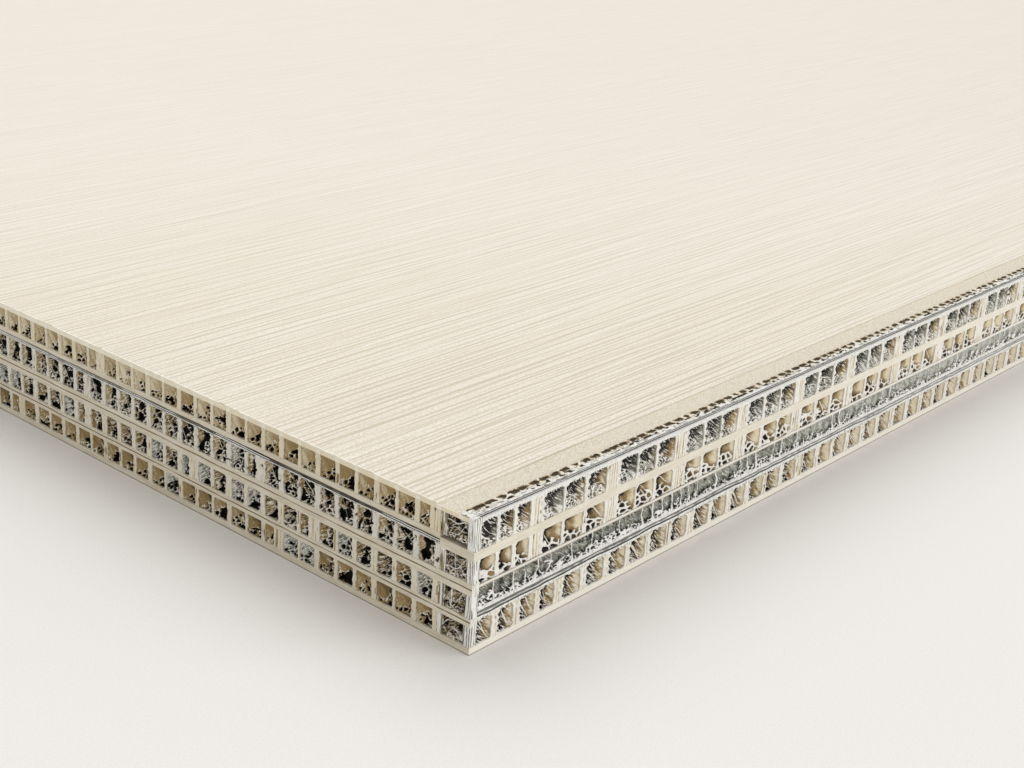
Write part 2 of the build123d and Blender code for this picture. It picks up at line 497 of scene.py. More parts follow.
# %% [markdown]
# ## Finishes
#
# The boards are pressed and sawn paper board: cream, matt, with thin plies, faint saw marks and a few longer
# fibres. Two liners are laid in a pair, and each joint shows as a fine brown line. A photograph of board
# could be wrapped round them, but it would repeat and blur from close by. Noise stretched along the board
# never does, and it can be told where the joints and the open edges are.


# %% Boards
def board(light, dark, joints, line=tone(112, 90, 58)):
    """Sawn board between two tones, with a fine line at the height of each joint."""
    fibre_tone, white_front_and_far_light, foot_shadow_tone = tone(176, 156, 118), tone(247, 243, 232), tone(92, 76, 50)
    split_dark, split_light = tone(140, 138, 128), tone(242, 240, 233)

    def paint(place, look):
        up = place.part(2)
        clouds = place.noise((0.12, 0.12, 0.3), 4.0)
        saw = place.noise((0.9, 0.9, 5.0), 3.0)
        fibres = place.noise((0.5, 0.5, 9.0), 2.0, 0.7)
        plies = abs(place.noise((0.03, 0.03, 1.6), 2.0, 0.6) - 0.5)
        colour = (clouds * 0.55 + saw * 0.45).ramp(0.3, 0.7).mix(dark, light)
        colour = fibres.ramp(0.66, 0.78, 0.0, 0.45).mix(colour, fibre_tone)
        colour = plies.ramp(0.0, 0.05, 0.4, 0.0).mix(colour, fibre_tone)
        for joint in joints:
            bend = place.noise((0.06, 0.06, 0.0), 2.0) * 0.7 - 0.35
            seam = abs(up - bend - joint).ramp(0.1, 0.3, 1.0, 0.0)
            seam = seam * place.noise((0.09, 0.09, 0.01), 2.0).ramp(0.3, 0.5, 0.5, 1.0)
            colour = seam.mix(colour, line)

        # Between the corner bundles the boards are split and frayed, and the front edge is whiter than the left
        split = place.noise((3.0, 3.0, 0.1), 3.0, 0.6).ramp(0.38, 0.55).mix(split_dark, split_light)
        on_front = behind_front(place).ramp(0.0, 0.3, 1.0, 0.0)
        at_corner = behind_left(place).ramp(2.6, 2.8, 1.0, 0.0) * on_front
        colour = (at_corner * up.ramp(5, 6) * up.ramp(24, 25, 1.0, 0.0)).mix(colour, split)
        # Painted light: above the lowest board the front edge is painted whiter the further along it lies, a
        # painted brightening with distance. The lowest board is whiter on the front all along.
        far_front_painted_light = behind_left(place).ramp(40, 300, 0.25, 0.6)
        whiter = on_front * (up.ramp(2.1, 2.3, 0.8, 0.0) + far_front_painted_light * up.ramp(2.1, 2.3))
        colour = whiter.mix(colour, white_front_and_far_light)
        # Painted shadow: a dark line along the foot of the lowest board, where the panel meets the floor.
        colour = up.ramp(0.12, 0.4, 0.85, 0.0).mix(colour, foot_shadow_tone)
        rough = clouds.ramp(0.2, 0.8, 0.75, 0.92)
        return {"Base Color": colour, "Roughness": rough, "height": (saw * 0.6 + fibres * 0.4, 0.12)}

    return paint


cream_tones = (tone(233, 227, 211), tone(216, 207, 185))
white_tones = (tone(240, 237, 229), tone(222, 217, 204))
between_pairs = [span("liner_2_lower", 2)[1], span("liner_3_lower", 2)[1]]
cream = finish("cream_board", board(*cream_tones, between_pairs))
cream_lined = finish("lined_board", board(*cream_tones, [span("liner_1", 2)[0]]))
white_liner = finish("white_liner", board(*white_tones, span("edge_liner", 2), tone(92, 87, 74)))


# %% [markdown]
# The facing is a thin sheet with a brushed grain that runs along the front edge. Long streaks are noise that
# is stretched along one axis. A slice of such noise also has wide soft bands, which the real grain lacks.
# Taking the same noise a small shift aside away from it leaves the fine streaks alone. Near the corner, where
# the photo shows it large, the grain is stronger.


# %% Facing
def streaks(place, stretch, detail, shift):
    """Fine streaks: the difference of one noise at two places a shift apart."""
    one, two = ((place + (0, aside, 0)).noise(stretch, detail, 0.8) for aside in (0, shift))
    return one - two + 0.5


def facing_paint(place, look):
    wandering = place + place.noise((0.005, 0.02, 0.02), 2.0).mix((0, 0, 0, 1), (0, 3, 0, 1))
    grain = streaks(wandering, (0.005, 0.5, 0.1), 2.0, 2.6)
    hairs = streaks(wandering, (0.012, 1.0, 0.1), 1.0, 1.0)
    grit = place.noise((1.1, 1.1, 1.1), 2.0)
    wide = wandering.noise((0.0025, 0.04, 0.02), 2.0)
    from_corner = place.part(0) + place.part(1) + (length + width) / 2
    colour = wide.ramp(0.35, 0.65).mix(tone(244, 238, 227), tone(242, 235, 222))
    # Painted light: far from the corner the facing is painted paler, a painted brightening with distance.
    colour = from_corner.ramp(150, 800).mix(colour, tone(240, 234, 225))
    grain_share = grain.ramp(0.42, 0.7, 0.0, 0.14) * from_corner.ramp(100, 800, 1.0, 0.3)
    colour = grain_share.mix(colour, tone(200, 187, 160))
    hair_share = hairs.ramp(0.44, 0.68) * from_corner.ramp(0, 600, 0.74, 0.26)
    colour = hair_share.mix(colour, tone(196, 182, 156))
    grit_share = grit.ramp(0.35, 0.7) * from_corner.ramp(0, 500, 0.6, 0.2)
    colour = grit_share.mix(colour, tone(208, 195, 170))
    colour = look.part(0).ramp(0.1, 0.5, 0.1, 0.0).mix(colour, tone(206, 189, 157))
    # Painted light: the facing is painted lighter along its left edge.
    colour = behind_left(place).ramp(0.3, 0.7, 0.8, 0.0).mix(colour, tone(252, 246, 230))
    return {"Base Color": colour, "Roughness": grain.ramp(0.3, 0.7, 0.75, 0.55), "height": (grain, 0.1)}


facing_finish = finish("facing", facing_paint)

# %% [markdown]
# Under the facing the backing board lies bare along the front: sandy, with a fine speckle. On the left edge
# the cell walls of the tier below show through it as pale bars. The bars could be thin strips of their own,
# but they have no height, so a change of colour is enough, and the material asks the model for their pitch.

# %% Sandy board
walls = mouths("core_1", LEFT)
walls = (walls[:-1, 1] + walls[1:, 0]) / 2
wall_pitch, first_wall = np.polyfit(np.arange(len(walls)), walls, 1)
print(f"cell walls every {wall_pitch:.2f} mm")


def sandy_paint(place, look):
    speckle = place.noise((2.4, 2.4, 2.4), 3.0, 0.7)
    clouds = place.noise((0.1, 0.1, 0.1), 3.0)
    colour = speckle.ramp(0.35, 0.65).mix(tone(209, 197, 174), tone(243, 236, 221))
    colour = clouds.ramp(0.4, 0.7, 0.0, 0.4).mix(colour, tone(228, 218, 198))
    pitches = (place.part(1) + (width / 2 - first_wall)) * (1 / wall_pitch) + 0.5
    from_wall = abs(pitches.fraction() - 0.5)
    bars = (from_wall + (speckle - 0.5) * 0.06).ramp(0.07, 0.13, 1.0, 0.0)
    # Painted light: the left edge of the board is painted lighter than its top, and lighter still further along
    # the edge, a painted brightening with distance. The pale bars are the cell walls.
    edge = behind_front(place).ramp(40, 220).mix(tone(246, 233, 204), tone(255, 248, 226))
    on_left = behind_left(place).ramp(0.1, 0.4, 1.0, 0.0)
    colour = on_left.mix(colour, (bars * 0.75).mix(edge, tone(255, 252, 240)))
    return {"Base Color": colour, "Roughness": 0.9, "height": (speckle, 0.25)}


sandy = finish("sandy_board", sandy_paint)


# %% [markdown]
# Torn paper takes its colour from the looks of its points. Light goes from dark through a middle tone to a pale
# one, and holds painted light and shade as well as the paper's own tone; grey turns the brown of the core paper
# to the grey of wool, and torn adds the white of a fresh tear. One picture for each piece could do this too,
# but it would have to be painted and unwrapped for nearly thirty pieces. The looks come with the shape, so a
# hole always has its pale torn rim.


# %% Torn paper
def torn_paper(browns, greys, white, rise=0.12, hatching=0.85):
    """Paper that goes through three browns, or three greys, to the white of a tear."""
    shaded_white = tuple(c * 0.8 for c in white[:3]) + (1.0,)

    def paint(place, look):
        grit = place.noise((1.6, 1.6, 1.6), 4.0, 0.65)
        fibres = place.noise((2.4, 2.4, 0.5), 3.0, 0.6)
        run, up = place.part(0) + place.part(1), place.part(2)
        slanting = run.node("CombineXYZ", {}, {0: run + up, 1: run - up})
        hatch = slanting.noise((2.0, 0.3, 1.0), 3.0, 0.65).ramp(0.34, 0.66)
        behind = run.sum("MINIMUM", behind_left(place), behind_front(place))
        inside = behind.ramp(0.3, 0.65) * look.part(1).ramp(-0.8, 0.1) * up.ramp(40.3, 40.4, 1.0, 0.0)
        light = look.part(0) + (grit - 0.5) * 0.4 + (hatch - 0.5) * inside * hatching
        shades = []
        for dark, middle, pale in (browns, greys):
            shades.append(light.ramp(0.5, 1.0).mix(light.ramp(0.0, 0.5).mix(dark, middle), pale))
        colour = look.part(1).ramp(0.2, 0.8).mix(shades[0], shades[1])
        strands = fibres + (hatch - fibres) * inside
        ragged = (look.part(2) + (strands - 0.5) * 1.2).ramp(0.35, 0.62)
        colour = ragged.mix(colour, fibres.ramp(0.3, 0.6).mix(shaded_white, white))
        rough = grit.ramp(0.2, 0.8, 0.78, 0.95)
        return {"Base Color": colour, "Roughness": rough, "height": (grit + strands, rise)}

    return paint


browns = (tone(20, 16, 9), tone(158, 134, 88), tone(232, 221, 193))
greys = (tone(20, 20, 16), tone(122, 122, 111), tone(222, 222, 215))
honeycomb = finish("honeycomb", torn_paper(browns, greys, tone(233, 229, 217)))
warm_browns = (tone(20, 15, 8), tone(148, 124, 81), tone(230, 217, 187))
edge_honeycomb = finish("edge_honeycomb", torn_paper(warm_browns, greys, tone(242, 239, 231), hatching=0.4))
white_paper = finish("white_paper", torn_paper(browns, greys, tone(243, 242, 237)))
webs = finish("webs", torn_paper(browns, greys, tone(245, 244, 240)))
wool_tones = (tone(40, 41, 34), tone(154, 155, 143), tone(224, 224, 214))
wool = finish("wool", torn_paper(wool_tones, wool_tones, tone(236, 236, 228), 0.3, 0.4))
flute_tones = (tone(44, 34, 20), tone(134, 114, 80), tone(216, 203, 174))
fluted = finish("fluted_paper", torn_paper(flute_tones, flute_tones, tone(240, 237, 226)))

# %% [markdown]
# The foils are thin aluminium. Fully metallic they would mirror the white studio and vanish between the
# papers, so they are only partly metallic and dark, with a smear that changes their gloss.


# %% Foil
def foil_paint(place, look):
    smear = place.noise((0.4, 0.4, 2.0), 3.0)
    dark = smear.ramp(0.35, 0.65).mix(tone(22, 23, 26), tone(56, 59, 63))
    # Painted highlight: a bright look paints the foil's upper rim and top as if they caught the light.
    colour = look.part(0).ramp(0.0, 1.0).mix(dark, tone(205, 206, 206))
    rough = smear.ramp(0.2, 0.8, 0.4, 0.65)
    return {"Base Color": colour, "Metallic": 0.3, "Roughness": rough, "height": (smear, 0.1)}


foil = finish("foil", foil_paint)

# %% [markdown]
# ## Sheets that keep the model's shape
#
# Boards are plain even on the real panel. They could be built again, but nothing would be gained, so the
# model's own pieces stay. They only get a finish, and a small Bevel modifier that rounds their sawn edges and
# draws a fine groove where two boards meet.

# %% Boards of the model
edge_rounding, foot_rounding = 0.12 / MM, 0.18 / MM
kept = {
    "bottom_sheet": cream,
    "liner_1": cream_lined,
    "liner_2_lower": cream,
    "liner_2_upper": cream,
    "liner_3_lower": cream,
    "liner_3_upper": cream,
    "edge_band": cream,
    "edge_liner": white_liner,
    "backing_board": sandy,
}
for name, material in kept.items():
    nodes[name].data.materials.clear()
    nodes[name].data.materials.append(material)
    soften = nodes[name].modifiers.new("sawn edge", "BEVEL")
    soften.width = foot_rounding if name == "bottom_sheet" else edge_rounding
    soften.segments, soften.limit_method = 2, "ANGLE"
print("kept", ", ".join(kept))

# %% [markdown]
# ## Facing
#
# Bump in the material can hint at a grain, but it stays flat at the sheet's cut edge and leaves the exported
# mesh without it. So the grain is a real relief as well. Its grid is fine near the open corner and coarse far
# away, and each line of the grain wanders a little so that no groove is straight. The sheet's own left edge
# is slightly chipped by the saw.

# %% The facing sheet
s = np.concatenate([lines(0, 400, 14), lines(400, length, 50)[1:]])
near_lines = lines(span("facing_sheet", 1)[0], 150, 0.5 * coarse)
t = np.concatenate([near_lines, lines(150, 380, 1.1)[1:], lines(380, width, 2.6)[1:]])
across, back = grid(s, t)
wander = back + 2.5 * hills(across / 110, back / 40, 3) + 7 * hills(across / 420, back / 150, 4)
fine, middle = hills(wander / 0.75, across / 90, 5), hills(wander / 1.9, across / 160, 6)
wide = hills(wander / 6, across / 300, 7)
scratch = step(middle, 0.78, 0.95)
depth = (0.05 * fine + 0.09 * middle + 0.10 * scratch * fine) * (1 - 0.7 * step(across + back, 100, 600))
chips = 0.3 * hills(back / 1.7, 0 * back, 8) ** 2 + 0.35 * step(hills(back / 8.15, 0 * back, 9), 0.75, 0.9)
across = np.where(across == 0, chips, across)
light = 0.25 + 0.75 * (1 - middle) * (1 - 0.5 * scratch) * (0.75 + 0.25 * wide)
sheet = relief(above, across, back, depth, (light, 0, 0), thick - span("facing_sheet", 2)[0])
piece("facing_grain", [sheet], facing_finish, "facing", "facing_sheet")

# %% [markdown]
# ## Open cells
#
# A core of paper honeycomb, sawn across, shows a row of square cells whose paper is bent, torn and frayed.
# Each cell could be sculpted by hand, but there are hundreds. Here a core is drawn in layers instead. The
# skin is what the saw left of the cell walls, level with the cut and open at each cell mouth. A little behind
# it the lining closes each cell: one bowed wall of paper, torn into pores through which the dark inside of
# the panel shows. Some tiers have a white lace of torn paper in front, and loose strips cross the cells. The
# rest of the core is a plain block. Every layer asks the model where its cells are.

# %% Where the edges are seen from close by
seen = {FRONT: 360.0, LEFT: 242.0}  # how far along each edge the grids are fine


def zones(node, along):
    """Grid lines for the part of an edge near the corner, and wider ones for the rest."""
    (first, last), (base, top) = span(node, along), span(node, 2)
    near = lines(first, seen[along], 0.3 * coarse, 0.0009)
    yield near, np.linspace(base, top, round((top - base) / (0.31 * coarse)) + 1), 1.0
    yield lines(seen[along], last, 1.7), np.linspace(base, top, round((top - base) / 0.9) + 1), 2.0


def further(away):
    """From 0 near the corner to 1 at some 350 mm from it."""
    return step(away, 60, 350)


print("fine grids reach", seen[FRONT], "mm along the front edge and", seen[LEFT], "mm along the left edge")


# %% Cells of a core
class Cells:
    """Where each point of a grid lies within the nearest open cell of a core.

    In a cell's own frame u goes from -1 to 1 along the edge and v from 0 at its foot to 1 at its top.
    """

    def __init__(self, name, along, s, z, seed):
        self.side, self.s, self.z, self.seed = (front, left)[along], s, z, seed
        self.across, self.up = grid(s, z)
        a, b = mouths(name, along).T
        self.number = np.searchsorted((b[:-1] + a[1:]) / 2, self.across)
        self.base, self.height = z[0], z[-1] - z[0]
        self.middle, self.half = (a + b)[self.number] / 2, (b - a)[self.number] / 2
        self.u, self.v = (self.across - self.middle) / self.half, (self.up - self.base) / self.height

    def cut(self, keep, depth, look, rings):
        """A sheet over these cells."""
        return cut_sheet(self.side, self.s, self.z, keep, depth, look, rings)

    def dice(self, k):
        """A random number from 0 to 1 for each cell."""
        return dice(self.number, k, self.seed)

    def rough(self, size, k=0, tall=1.0):
        """Noise from 0 to 1 with hills of a size in millimetres."""
        return hills(self.across / size, self.up / (size * tall), self.seed + 100 + k)

    def turn(self, u, v):
        """Direction and distance from a point of each cell's own frame."""
        east, north = self.across - self.middle - u * self.half, self.up - self.base - v * self.height
        return np.arctan2(north, east), np.hypot(east, north)

    def fan(self, u, v, gap, k):
        """Strands that spread from a point outside the cell, about a gap wide in the middle of the cell."""
        angle, away = self.turn(u, v)
        return hills(angle * 7 / gap + 9 * self.dice(k), away / 3, self.seed + 200 + k)

    def mouth(self, lip, corner_round, ragged):
        """Distance from the rim of the cell's mouth, below zero inside it."""
        side = np.abs(self.across - self.middle) - (self.half - corner_round)
        end = np.abs(self.up - self.base - self.height / 2) - (self.height / 2 - lip - corner_round)
        away = np.hypot(np.maximum(side, 0), np.maximum(end, 0)) + np.minimum(np.maximum(side, end), 0)
        return away - corner_round + ragged * (self.rough(0.9, 1) + 0.5 * self.rough(0.4, 2) - 0.75)


# A bit of one tier, to try the next functions on
sample = Cells("core_2", LEFT, np.linspace(10, 30, 41), np.linspace(*span("core_2", 2), 15), 1)
sample_rim = sample.mouth(0.0, 0.6, 0.5)
print("the sample has", int((sample_rim < 0).sum()), "points in the mouths of cells", np.unique(sample.number))


# %% [markdown]
# The tiers differ in how brown, how grey and how torn they are. Each of them is told as a short list of
# numbers and small functions of the place in a cell, and what a tier doesn't say it takes from the plain
# tier.

# %% What a tier can say
plain_tier = {
    # Each tier has its own light, which paints the lit and the shaded parts of the lining as well as its tone;
    # tear, below zero where it is torn; fan, the point that its strands spread from; pore, the size of its
    # pores; contrast, how strong its strands are; mouth, the lip, rounding and raggedness of the cells' mouths;
    # and skin, how white the skin is at the mouths and on the posts. The rest can be left out:
    "wall": 0.1,  # how thick the threads between the pores are
    "bare": 0.0,  # how much of that net of threads is missing in patches
    "coat": lambda c: 0.1,  # how grey the lining is
    "smooth": 0.0,  # how much of the lining's slanting hatch is left out
    "frayed": lambda c: 0.0,  # how many loose white fibres lie on the lining
    "stuffed": 0.0,  # what share of the cells is stuffed with crumpled paper
    "scallop": 0.0,  # how deep the lobes at the far top of each mouth are, and how much painted shade darkens the lining under them
    "specks": 0.0,  # how many small holes the skin has
    "lace": None,  # above zero where there is lace, which then has a lace_pore and a lace_wall
}


def styled(**given):
    """The plain tier with what a tier says of its own."""
    return SimpleNamespace(**{**plain_tier, **given})


sample_style = styled(
    light=lambda c: 0.5, tear=lambda c: -1.0, fan=(1.5, 1.4), pore=1.5, contrast=0.5, skin=(0.5, 0.4),
    lace=lambda c: 1.0, lace_pore=(1.5, 1.0), lace_wall=0.08,
)
print("can be left out:", ", ".join(plain_tier))


# %% Skin
def skin_sheet(cells, rim, style):
    """Upright strands of paper, a few slits, and grooves in the wide posts between groups of cells."""
    strands, slits = cells.rough(0.5, 3, 8), cells.rough(0.42, 4, 12)
    slit = step(slits, 0.18, 0.08) * step(rim, 0.15, 0.4)
    post = step(rim, 0.9, 1.3)
    grooves = step(np.cos(5.6 * cells.across + 5 * cells.rough(3, 5, 3)), 0.2, 0.9) * post
    depth = 0.02 + 0.2 * strands * step(rim, 0.05, 0.5) + 0.3 * slit + 0.2 * grooves
    pale = 0.84 + 0.3 * cells.rough(1.1, 6, 5) - 0.6 * slit - 0.26 * grooves
    at_mouth, on_post = style.skin
    torn = at_mouth + (on_post - at_mouth) * post + 0.3 * step(rim, 0.3, 0.05)
    torn = torn + 0.4 * (strands - 0.5) - 0.4 * slit
    torn += 0.25 * post - 0.75 * grooves
    keep = rim
    if style.specks:
        keep = np.minimum(rim, (cells.rough(0.55, 5, 2) - style.specks) * 0.9 + 0.05)
    return cells.cut(keep, depth, (pale, 0.15, torn), [(0.12, 0.03, 0.95, 1), (0.7, 0, 0.7, 0.5)])


print("skin of the sample:", len(skin_sheet(sample, sample_rim, sample_style)[2]), "faces")


# %% Lining
def lining_sheet(cells, rim, far_top, blur, style):
    """A bowed wall with pores where it is torn, and threads of paper between them."""
    size = style.pore * blur * (0.8 + 0.4 * cells.dice(2))
    slant, rise = cells.across - cells.up, cells.across + cells.up
    net = pores(slant / (1.75 * size), rise / (1.25 * size), cells.seed + 50)
    missing = style.bare * step(cells.rough(2.4, 18), 0.5, 0.7)
    holes = (style.wall * (0.6 + 0.9 * cells.rough(1.8, 16) - missing) - net) * size
    holes = np.maximum(holes, style.tear(cells) * 1.2)
    threads = step(holes, 0.22, 0.02)

    full = cells.dice(3) < style.stuffed
    strokes = cells.fan(*style.fan, 0.5, 7) * 0.6 + cells.fan(*style.fan, 0.25, 8) * 0.4
    bow = (1 - np.clip((cells.u + 0.35) / 1.35, -1, 1) ** 2) * step(cells.v, -0.05, 0.28)
    depth = 0.35 + np.where(full, 0.6, 1.0) * bow + 0.3 * (1 - strokes) * style.contrast - 0.2 * threads

    shade = style.light(cells) + 0.25 * (cells.dice(4) - 0.5) + style.contrast * (strokes - 0.5)
    # Painted shade: the lining darkens just inside the rim of each mouth, and much more under the lobes at its
    # far top.
    shade = shade - 0.18 * step(rim, -0.5, 0) - 1.6 * style.scallop * step(rim, -2.8, -0.4) * far_top
    shade = np.where(full, 0.75 + 0.9 * (strokes - 0.5), shade)
    grey = step(style.coat(cells) + 0.35 * (cells.dice(5) - 0.5), 0.0, 1.0) - style.smooth
    grey = np.where(full, 0.85, grey)
    torn = threads * (0.1 + 0.7 * cells.rough(0.8, 8)) * (1 - min(style.scallop, 0.8) * far_top)
    torn = torn + style.frayed(cells)
    drawn = step(strokes, 0.62, 0.8) * (1 - min(style.scallop, 0.9) * step(cells.v, 0.35, 0.75))
    torn = torn + style.contrast * drawn * 0.7
    # The rings are painted darker than the lining, the deeper one black, as painted shade in the pores.
    rings = [(0.15, 0.02, 0.7, 0.6), (0.7, -0.05, 0.0, 0.0)]
    return cells.cut(np.minimum(0.5 - rim, holes), depth, (shade, grey, torn), rings)


print("lining of the sample:", len(lining_sheet(sample, sample_rim, 0.0, 1.0, sample_style)[2]), "faces")


# %% Lace
thread_rings = [(0.3, 0.03, 0.7, 0.5)]  # the small thickness of lace, of webs and of threads


def lace_sheet(cells, rim, blur, style):
    """A net of torn white paper in front of the lining."""
    wide, tall = (x * blur for x in style.lace_pore)
    net = pores((cells.across + 0.5 * cells.up) / wide, cells.up / tall, cells.seed + 60)
    net = (style.lace_wall * (0.5 + cells.rough(1.6, 17)) - net) * tall
    net = np.minimum(np.minimum(net, style.lace(cells)), 0.3 - rim)
    look = (0.9, 0.8, 0.55 + 0.5 * cells.rough(0.7, 9))
    return cells.cut(net, 0.1 + 0.45 * cells.rough(1.2, 10), look, thread_rings)


print("lace of the sample:", len(lace_sheet(sample, sample_rim, 1.0, sample_style)[2]), "faces")


# %% Tiers
def tier(name, along, seed, **given):
    """The sheets of one tier of open cells. The far top of each mouth may be cut into lobes."""
    style, parts = styled(**given), []
    for s, z, blur in zones(name, along):
        cells = Cells(name, along, s, z, seed)
        angle, _ = cells.turn(1.15, 0.25)
        lobes = np.abs(np.sin(13 * angle + 6 * cells.dice(1))) - 0.5
        far_top = step(1.2 * (cells.v - 0.35) - 0.8 * cells.u, 0, 0.7)
        rim = cells.mouth(*style.mouth) - 0.12 - style.scallop * lobes * far_top
        parts += [skin_sheet(cells, rim, style), lining_sheet(cells, rim, far_top, blur, style)]
        if style.lace:
            parts.append(lace_sheet(cells, rim, blur, style))
    print(f"{name}: {len(parts)} sheets over {len(mouths(name, along))} open cells")
    return parts


# %% [markdown]
# A few thin strips of paper hang loose and cross the cells. Curves with a bevel would make them too, but a
# curve becomes a round thread. A strip of three rows of points is flat, a little folded, and needs few faces.


# %% Loose strips
def ribbon(side, s, z, depth, half, look):
    """A thin strip of paper along a line, raised in its middle."""
    run, rise = np.gradient(s), np.gradient(z)
    steep, rows, n = np.hypot(run, rise) + 1e-9, [], len(s)
    for o in (-1, 0, 1):
        rows.append(side(s - o * half * rise / steep, z + o * half * run / steep, depth + 0.6 * half * abs(o)))
    faces = [[j, j + 1, j + n + 1, j + n] for i in (0, 1) for j in range(n * i, n * i + n - 1)]
    return np.concatenate(rows), np.tile(look, (3 * n, 1)), outward(side, faces)


def crossing(name, along, seed, count, half, start, stop):
    """Loose strips that cross each cell between two points of its own frame, each a little different."""
    parts, (base, top), t = [], span(name, 2), np.linspace(0, 1, 7)
    for k, (a, b) in enumerate(mouths(name, along)):
        for n in range(round(count * 2 * float(dice(k, 0, seed))) if a < seen[along] else 0):
            r = [float(dice(k, 8 * n + j, seed + 1)) - 0.5 for j in range(8)]
            u = start[0] + 0.9 * r[0] + (stop[0] - start[0] + 0.9 * r[1]) * t + 0.5 * r[2] * t * (1 - t)
            v = start[1] + 0.5 * r[3] + (stop[1] - start[1] + 0.5 * r[4]) * t + 0.6 * r[5] * t * (1 - t)
            u, v = np.clip(u, -0.97, 0.97), np.clip(v, 0.03, 0.97)
            thin = half * (1 + 1.2 * r[6]) * (0.5 + 0.5 * np.sin(np.pi * np.clip(1.3 * t, 0, 1)))
            across, up = (a + b) / 2 + u * (b - a) / 2, base + v * (top - base)
            depth = 0.15 + 0.3 * (r[7] + 0.5) + 0.3 * t
            parts.append(ribbon((front, left)[along], across, up, depth, thin, (0.9, 0.6, 0.9)))
    return parts


sample_strips = crossing("edge_core_2", FRONT, 66, 0.8, 0.15, (-0.8, 0.85), (0.6, 0.1))
print("loose strips on one tier of the front edge:", len(sample_strips))


# %% [markdown]
# Behind the lining each cell opens on a dark cavity. It could be built wall by wall, but only its dark shows
# through the pores, so a dark back, floor and ceiling stand for it. The far edges of the panel were never
# sawn open, so there the core ends in a plain pale face.

# %% The rest of a core
cavity = 3.2  # how deep the dark inside of a cell is
shadow, unopened = (-0.5, 0.1, -1), (0.85, -0.8, 0.2)  # looks: how light, how grey and how torn


def body(name, along, first):
    """Dark walls round the cavity, and plain paper on the sides that no saw has opened."""
    last, back, (base, top) = span(name, along)[1], span(name, 1 - along)[1], span(name, 2)
    inner, end, low_side, high_side = cavity + 0.3, last - 0.3, base + 0.02, top - 0.02
    parts = [slab(along, first, end, cavity, inner, low_side, high_side, shadow)]
    parts += [slab(along, first, end, 0.8, cavity, z, z + 0.02, shadow) for z in (base + 0.01, top - 0.03)]
    parts.append(slab(along, first, end, inner, back, low_side, high_side, unopened))
    parts.append(slab(along, end, last, 0.3, back, low_side, high_side, unopened))
    return parts


print("blocks behind the torn front of a tier:", len(body("core_1", LEFT, 0)))


# %% [markdown]
# ### The left edge
#
# The upper and the lowest tier are plain brown with small holes at the foot of each cell. The two between
# them are whiter and more torn, and some of their cells are stuffed with grey crumpled paper.


# %% Where the lining of the left edge is torn
def left_tier(name, seed, strips=(0, 0), **style):
    """A tier of the left edge. Strips has how many loose strips a cell has and half their width."""
    parts = tier(name, LEFT, seed, fan=(1.5, 1.4), **style)
    parts += crossing(name, LEFT, seed + 5, *strips, (0.6, 0.9), (-0.7, 0.2))
    piece(name + "_torn", parts + body(name, LEFT, span(name, LEFT)[0]), honeycomb, "honeycomb", name)


def at_foot(c):
    """Torn in the lower third of the cell, a little higher on its side near the corner."""
    return 0.5 * c.u + 1.8 * c.v - 0.65 - 0.4 * c.dice(6) + 0.7 * (c.rough(1.6, 11) - 0.5)


def low_and_near(c):
    """Torn at the foot of the cell and on its side near the corner."""
    return 0.85 * c.u + 1.1 * c.v - 0.4 - 0.5 * c.dice(6) + 1.1 * (c.rough(1.6, 11) - 0.5)


def all_over(c):
    """Torn nearly everywhere, with a whole patch near the far top."""
    return 1.1 * c.u + 0.9 * c.v - 0.75 - 0.9 * c.dice(6) + 1.1 * (c.rough(2.2, 12) - 0.5)


# %% Tiers of the left edge
# Painted light and shade: each tier's light makes the far side of a cell lighter and its near side darker. The
# lower three tiers are painted darker towards the top of a cell, and the upper one lighter further along the
# edge, a painted brightening with distance.
left_tier(
    "core_1", 11, light=lambda c: 0.5 + 0.16 * c.u + 0.16 * further(2 * c.across), tear=at_foot, pore=1.4,
    wall=0.13, bare=0.6, smooth=1.0, contrast=0.35, mouth=(-0.4, 0.5, 0.4), skin=(0.25, 0.15),
)
left_tier(
    "core_2", 23, light=lambda c: 0.42 + 0.24 * c.u - 0.2 * (c.v - 0.5), tear=all_over, pore=2.2, wall=0.08,
    bare=2.0, coat=lambda c: 0.45, smooth=0.6, frayed=lambda c: 0.2 * step(c.v, 0.7, 0.2), stuffed=0.05,
    contrast=0.8, mouth=(0.0, 0.6, 0.8), skin=(0.95, 0.7), specks=0.25, strips=(0.8, 0.1),
    lace=lambda c: (0.25 - c.v - 0.3 * c.u + 1.0 * (c.rough(2.6, 14) - 0.5)) * 5,
    lace_pore=(1.8, 1.5), lace_wall=0.06,
)
left_tier(
    "core_3", 37, light=lambda c: 0.36 + 0.2 * c.u - 0.15 * (c.v - 0.5), tear=low_and_near, pore=1.7, wall=0.08,
    bare=1.2, coat=lambda c: 0.5, smooth=0.6, frayed=lambda c: 0.15, stuffed=0.3, contrast=0.7,
    mouth=(0.0, 0.6, 0.55), skin=(0.5, 0.35), specks=0.12, strips=(0.4, 0.1),
)
left_tier(
    "core_4", 41, light=lambda c: 0.38 + 0.16 * c.u - 0.2 * (c.v - 0.5), tear=at_foot, pore=1.5, wall=0.12,
    bare=0.8, coat=lambda c: 0.2, smooth=0.8, stuffed=0.05, contrast=0.6, mouth=(-0.1, 0.6, 0.5),
    skin=(0.35, 0.25), specks=0.08,
)

# %% [markdown]
# ### The front edge
#
# The cells of the front edge stand in groups of three between wide ribbed posts. The upper tier is grey and
# combed with dark lobes under its lip, the second is tan with a white lace at its foot, and the lowest is tan
# with loose strips. Next to the corner each tier also closes the corner cell from behind.

# %% Tiers of the front edge
behind_wool = span("edge_wool", 1)[1]
group, comb_seed = 3, 53  # cells in a group, and a seed that the paper above the cells shares


